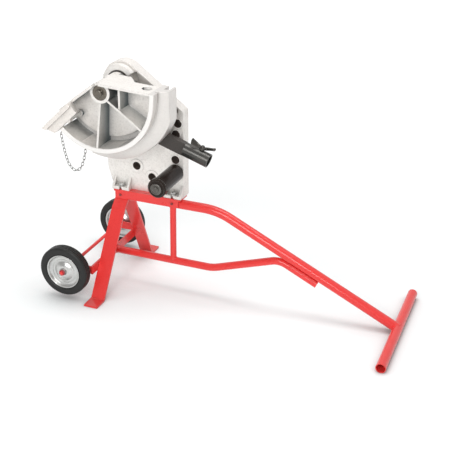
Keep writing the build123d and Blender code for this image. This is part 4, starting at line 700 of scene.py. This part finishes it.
def makeBolts(s):
    bm = bmesh.new()
    hexRadius = s["flats"] / math.sqrt(3)
    for x, y in s["spots"]:
        known = set(bm.verts)
        head = Matrix.Translation((0, 0, (s["seat"] + s["top"]) / 2))
        bmesh.ops.create_cone(bm, cap_ends=True, segments=6, radius1=hexRadius, radius2=hexRadius,
                              depth=s["top"] - s["seat"], matrix=head)
        roundEdges(bm, freshEdges(bm, known), s["chamfer"])
        crown = [f for f in freshFaces(bm, known)
                 if f.normal.z > s["crownUp"] and f.calc_area() > s["crownArea"]]
        bmesh.ops.inset_region(bm, faces=crown, thickness=s["crownInset"], depth=s["crownRise"])
        stem = Matrix.Translation((0, 0, (s["low"] + s["seat"]) / 2))
        bmesh.ops.create_cone(bm, cap_ends=True, segments=s["shankSides"], radius1=s["shank"],
                              radius2=s["shank"], depth=s["seat"] - s["low"], matrix=stem)
        turn = Matrix.Translation((x, y, 0)) @ Matrix.Rotation(math.radians(s["turn"]), 4, "Z")
        bmesh.ops.transform(bm, matrix=turn, verts=freshVerts(bm, known))
    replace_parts(newPiece("housing_bolts_chamfered", bm, zincSteel, "stand"), "housing_bolts")


makeBolts(boltSet)
print("nuts and bolts made")

# pressed outer discs of the wheels, as radius and distance from the wheel's middle
discSet = {"middle": 244.5, "sheet": 1.5, "steps": 64,
           "profile": ((70.4, 20.2), (67.4, 20.2), (65.4, 18.6), (64.2, 13.0), (61.6, 9.6), (55.0, 8.2),
                       (50.0, 8.6), (47.0, 10.6), (44.2, 9.4), (41.6, 8.4), (39.0, 9.6), (35.0, 12.8),
                       (29.0, 16.4), (22.0, 18.8), (13.3, 19.8))}


def makeDisc(name, side, s):
    bm = bmesh.new()
    spinProfile(bm, s["profile"], s["steps"])
    if sum(f.normal.z * f.calc_area() for f in bm.faces) < 0:
        bmesh.ops.reverse_faces(bm, faces=bm.faces)
    bmesh.ops.solidify(bm, geom=bm.faces, thickness=s["sheet"])
    face = Matrix.Translation((wheelCentre[0], side * s["middle"], wheelCentre[1]))
    face = face @ Matrix.Rotation(math.radians(-90 * side), 4, "X")
    bmesh.ops.transform(bm, matrix=face, verts=bm.verts)
    disc = newPiece(name + "_wheel_disc_pressed", bm, wheelDisc, name + "_wheel", levels=1)
    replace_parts(disc, name + "_wheel_outer_disc")


makeDisc("front", -1, discSet)
makeDisc("rear", 1, discSet)
print("wheel discs made")

# wing screw with two twisted wings; root and tip give each wing's reach, rise and half width
wingSet = {"foot": (-110.34, -24.5, 617.9), "axis": (0.318959, 0.0, 0.947768),
           "along": (0.947768, 0.0, -0.318959), "turn": 11.0, "twist": 40.0, "twistRate": 1.8, "thick": 5.0,
           "root": (6.0, 12.0, 5.5), "tip": (49.0, 25.0, 11.5), "tipBow": 2.5, "tipFrom": 0.99, "round": 1.3,
           "sharpFrom": 0.9, "grid": (8, 4), "hubSteps": 32,
           "hub": ((6.0, -3.0), (6.0, 0.6), (9.0, 0.6), (9.8, 2.0), (9.4, 9.0), (8.2, 16.0), (6.4, 19.0),
                   (0.0, 20.0))}


def makeWings(s):
    bm = bmesh.new()
    spinProfile(bm, s["hub"], s["hubSteps"])
    for half in (0, 1):
        known = set(bm.verts)
        bmesh.ops.create_grid(bm, x_segments=s["grid"][0], y_segments=s["grid"][1], size=1.0)
        for v in freshVerts(bm, known):
            share = (v.co.x + 1) / 2
            reach, rise, width = (a + (b - a) * share for a, b in zip(s["root"], s["tip"]))
            bow = reach - (s["tipBow"] * v.co.y ** 2 if share > s["tipFrom"] else 0)
            lean = math.radians(s["twist"]) * min(1.0, share * s["twistRate"])
            offset = v.co.y * width
            v.co = (bow, -offset * math.sin(lean), rise + offset * math.cos(lean))
        bmesh.ops.solidify(bm, geom=freshFaces(bm, known), thickness=s["thick"])
        bmesh.ops.recalc_face_normals(bm, faces=freshFaces(bm, known))
        rims = [e for e in freshEdges(bm, known) if e.calc_face_angle(0) > s["sharpFrom"]]
        roundEdges(bm, rims, s["round"])
        around = Matrix.Rotation(math.pi * half, 3, "Z")
        bmesh.ops.rotate(bm, cent=(0, 0, 0), matrix=around, verts=freshVerts(bm, known))
    axis = Vector(s["axis"])
    along = Vector(s["along"])
    stand = Matrix((along, axis.cross(along), axis)).transposed().to_4x4()
    place = Matrix.Translation(s["foot"]) @ stand @ Matrix.Rotation(math.radians(s["turn"]), 4, "Z")
    bmesh.ops.transform(bm, matrix=place, verts=bm.verts)
    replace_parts(newPiece("wing_screw_twisted", bm, wingSteel, "wing_screw"), "wing_screw")


makeWings(wingSet)
print("wing screw made")


# rays that see the floor and the room directly, mirrored or through glass
def seenRays(tree, ray):
    seen = mathNode(tree, "MAXIMUM", ray.outputs["Is Camera Ray"], ray.outputs["Is Glossy Ray"])
    return mathNode(tree, "MAXIMUM", seen, ray.outputs["Is Transmission Ray"])


# pale floor: part lit, part plain white for the camera, so that only the shadow shows
floorSet = {"half": 14.0, "grid": 8, "glow": 0.3, "glowLevel": 1.25, "farGlow": 0.97, "nearEdge": 0.9,
            "farEdge": 2.4, "shade": (0.94, 0.97, 0.97), "contact": 0.16, "contactSamples": 8,
            "contactFrom": (0.3, 0.95), "contactShade": (0.42, 0.43, 0.43)}


def layFloor(s):
    bm = bmesh.new()
    bmesh.ops.create_grid(bm, x_segments=s["grid"], y_segments=s["grid"], size=s["half"])
    mesh = bpy.data.meshes.new("floor")
    bm.to_mesh(mesh)
    bm.free()
    floor = bpy.data.objects.new("floor", mesh)
    scene.collection.objects.link(floor)
    mat = bpy.data.materials.new("floorWhite")
    mat.use_nodes = True
    tree = mat.node_tree
    tree.nodes.clear()
    out = put(tree, "ShaderNodeOutputMaterial")
    lit = put(tree, "ShaderNodeBsdfDiffuse")
    # painted contact shadow: near the object ambient occlusion turns the floor grey and takes away its white
    # glow
    contact = put(tree, "ShaderNodeAmbientOcclusion", {"Distance": s["contact"]}, samples=s["contactSamples"])
    clear = spread(tree, contact.outputs["AO"], *s["contactFrom"])
    wire(tree, mixColour(tree, clear, s["contactShade"], s["shade"]), lit.inputs["Color"])
    glow = put(tree, "ShaderNodeEmission", {"Color": (1, 1, 1, 1), "Strength": s["glowLevel"]})
    seen = seenRays(tree, put(tree, "ShaderNodeLightPath"))
    blend = put(tree, "ShaderNodeMixShader")
    place = put(tree, "ShaderNodeTexCoord")
    reach = put(tree, "ShaderNodeVectorMath", operation="LENGTH")
    wire(tree, place.outputs["Object"], reach.inputs[0])
    glowShare = spread(tree, reach.outputs["Value"], s["nearEdge"], s["farEdge"], s["glow"], s["farGlow"])
    glowShare = mathNode(tree, "MULTIPLY", glowShare, clear)
    wire(tree, mathNode(tree, "MULTIPLY", seen, glowShare), blend.inputs[0])
    wire(tree, lit.outputs[0], blend.inputs[1])
    wire(tree, glow.outputs[0], blend.inputs[2])
    wire(tree, blend.outputs[0], out.inputs[0])
    mesh.materials.append(mat)


layFloor(floorSet)

# soft studio light: a long lamp overhead and a little behind, a smaller one in front
lampSet = [
    {"name": "overhead", "at": (-0.2, 0.5, 4.5), "aim": (-0.1, 0.0, 0.4), "size": (4.2, 1.5), "power": 98.0},
    {"name": "front", "at": (0.3, -4.2, 2.3), "aim": (-0.2, 0.0, 0.5), "size": (2.6, 1.8), "power": 112.0},
]


def hangLamps(lamps):
    for s in lamps:
        lamp = bpy.data.lights.new(s["name"], "AREA")
        lamp.shape = "RECTANGLE"
        lamp.size = s["size"][0]
        lamp.size_y = s["size"][1]
        lamp.energy = s["power"]
        holder = bpy.data.objects.new(s["name"], lamp)
        place = Vector(s["at"])
        aim = (Vector(s["aim"]) - place).to_track_quat("-Z", "Y")
        holder.matrix_world = Matrix.Translation(place) @ aim.to_matrix().to_4x4()
        scene.collection.objects.link(holder)


# pale room, white behind the object and darker in reflections of its front
roomSet = {"level": 0.42, "front": 0.28, "back": 1.0, "frontToBack": (-0.9, 0.2)}


def paintRoom(s):
    room = bpy.data.worlds.new("studioRoom")
    room.use_nodes = True
    tree = room.node_tree
    tree.nodes.clear()
    out = put(tree, "ShaderNodeOutputWorld")
    back = put(tree, "ShaderNodeBackground", {"Color": (1, 1, 1, 1)})
    ray = put(tree, "ShaderNodeLightPath")
    seen = seenRays(tree, ray)
    place = put(tree, "ShaderNodeTexCoord")
    parts = put(tree, "ShaderNodeSeparateXYZ")
    wire(tree, place.outputs["Generated"], parts.inputs[0])
    shown = spread(tree, parts.outputs["Y"], *s["frontToBack"], s["front"], s["back"])
    shown = mathNode(tree, "MAXIMUM", shown, ray.outputs["Is Camera Ray"])
    blend = put(tree, "ShaderNodeMix", {2: s["level"]}, data_type="FLOAT")
    wire(tree, seen, blend.inputs[0])
    wire(tree, shown, blend.inputs[3])
    wire(tree, blend.outputs[0], back.inputs["Strength"])
    wire(tree, back.outputs[0], out.inputs[0])
    scene.world = room


hangLamps(lampSet)
paintRoom(roomSet)
print("floor, lamps and room set")
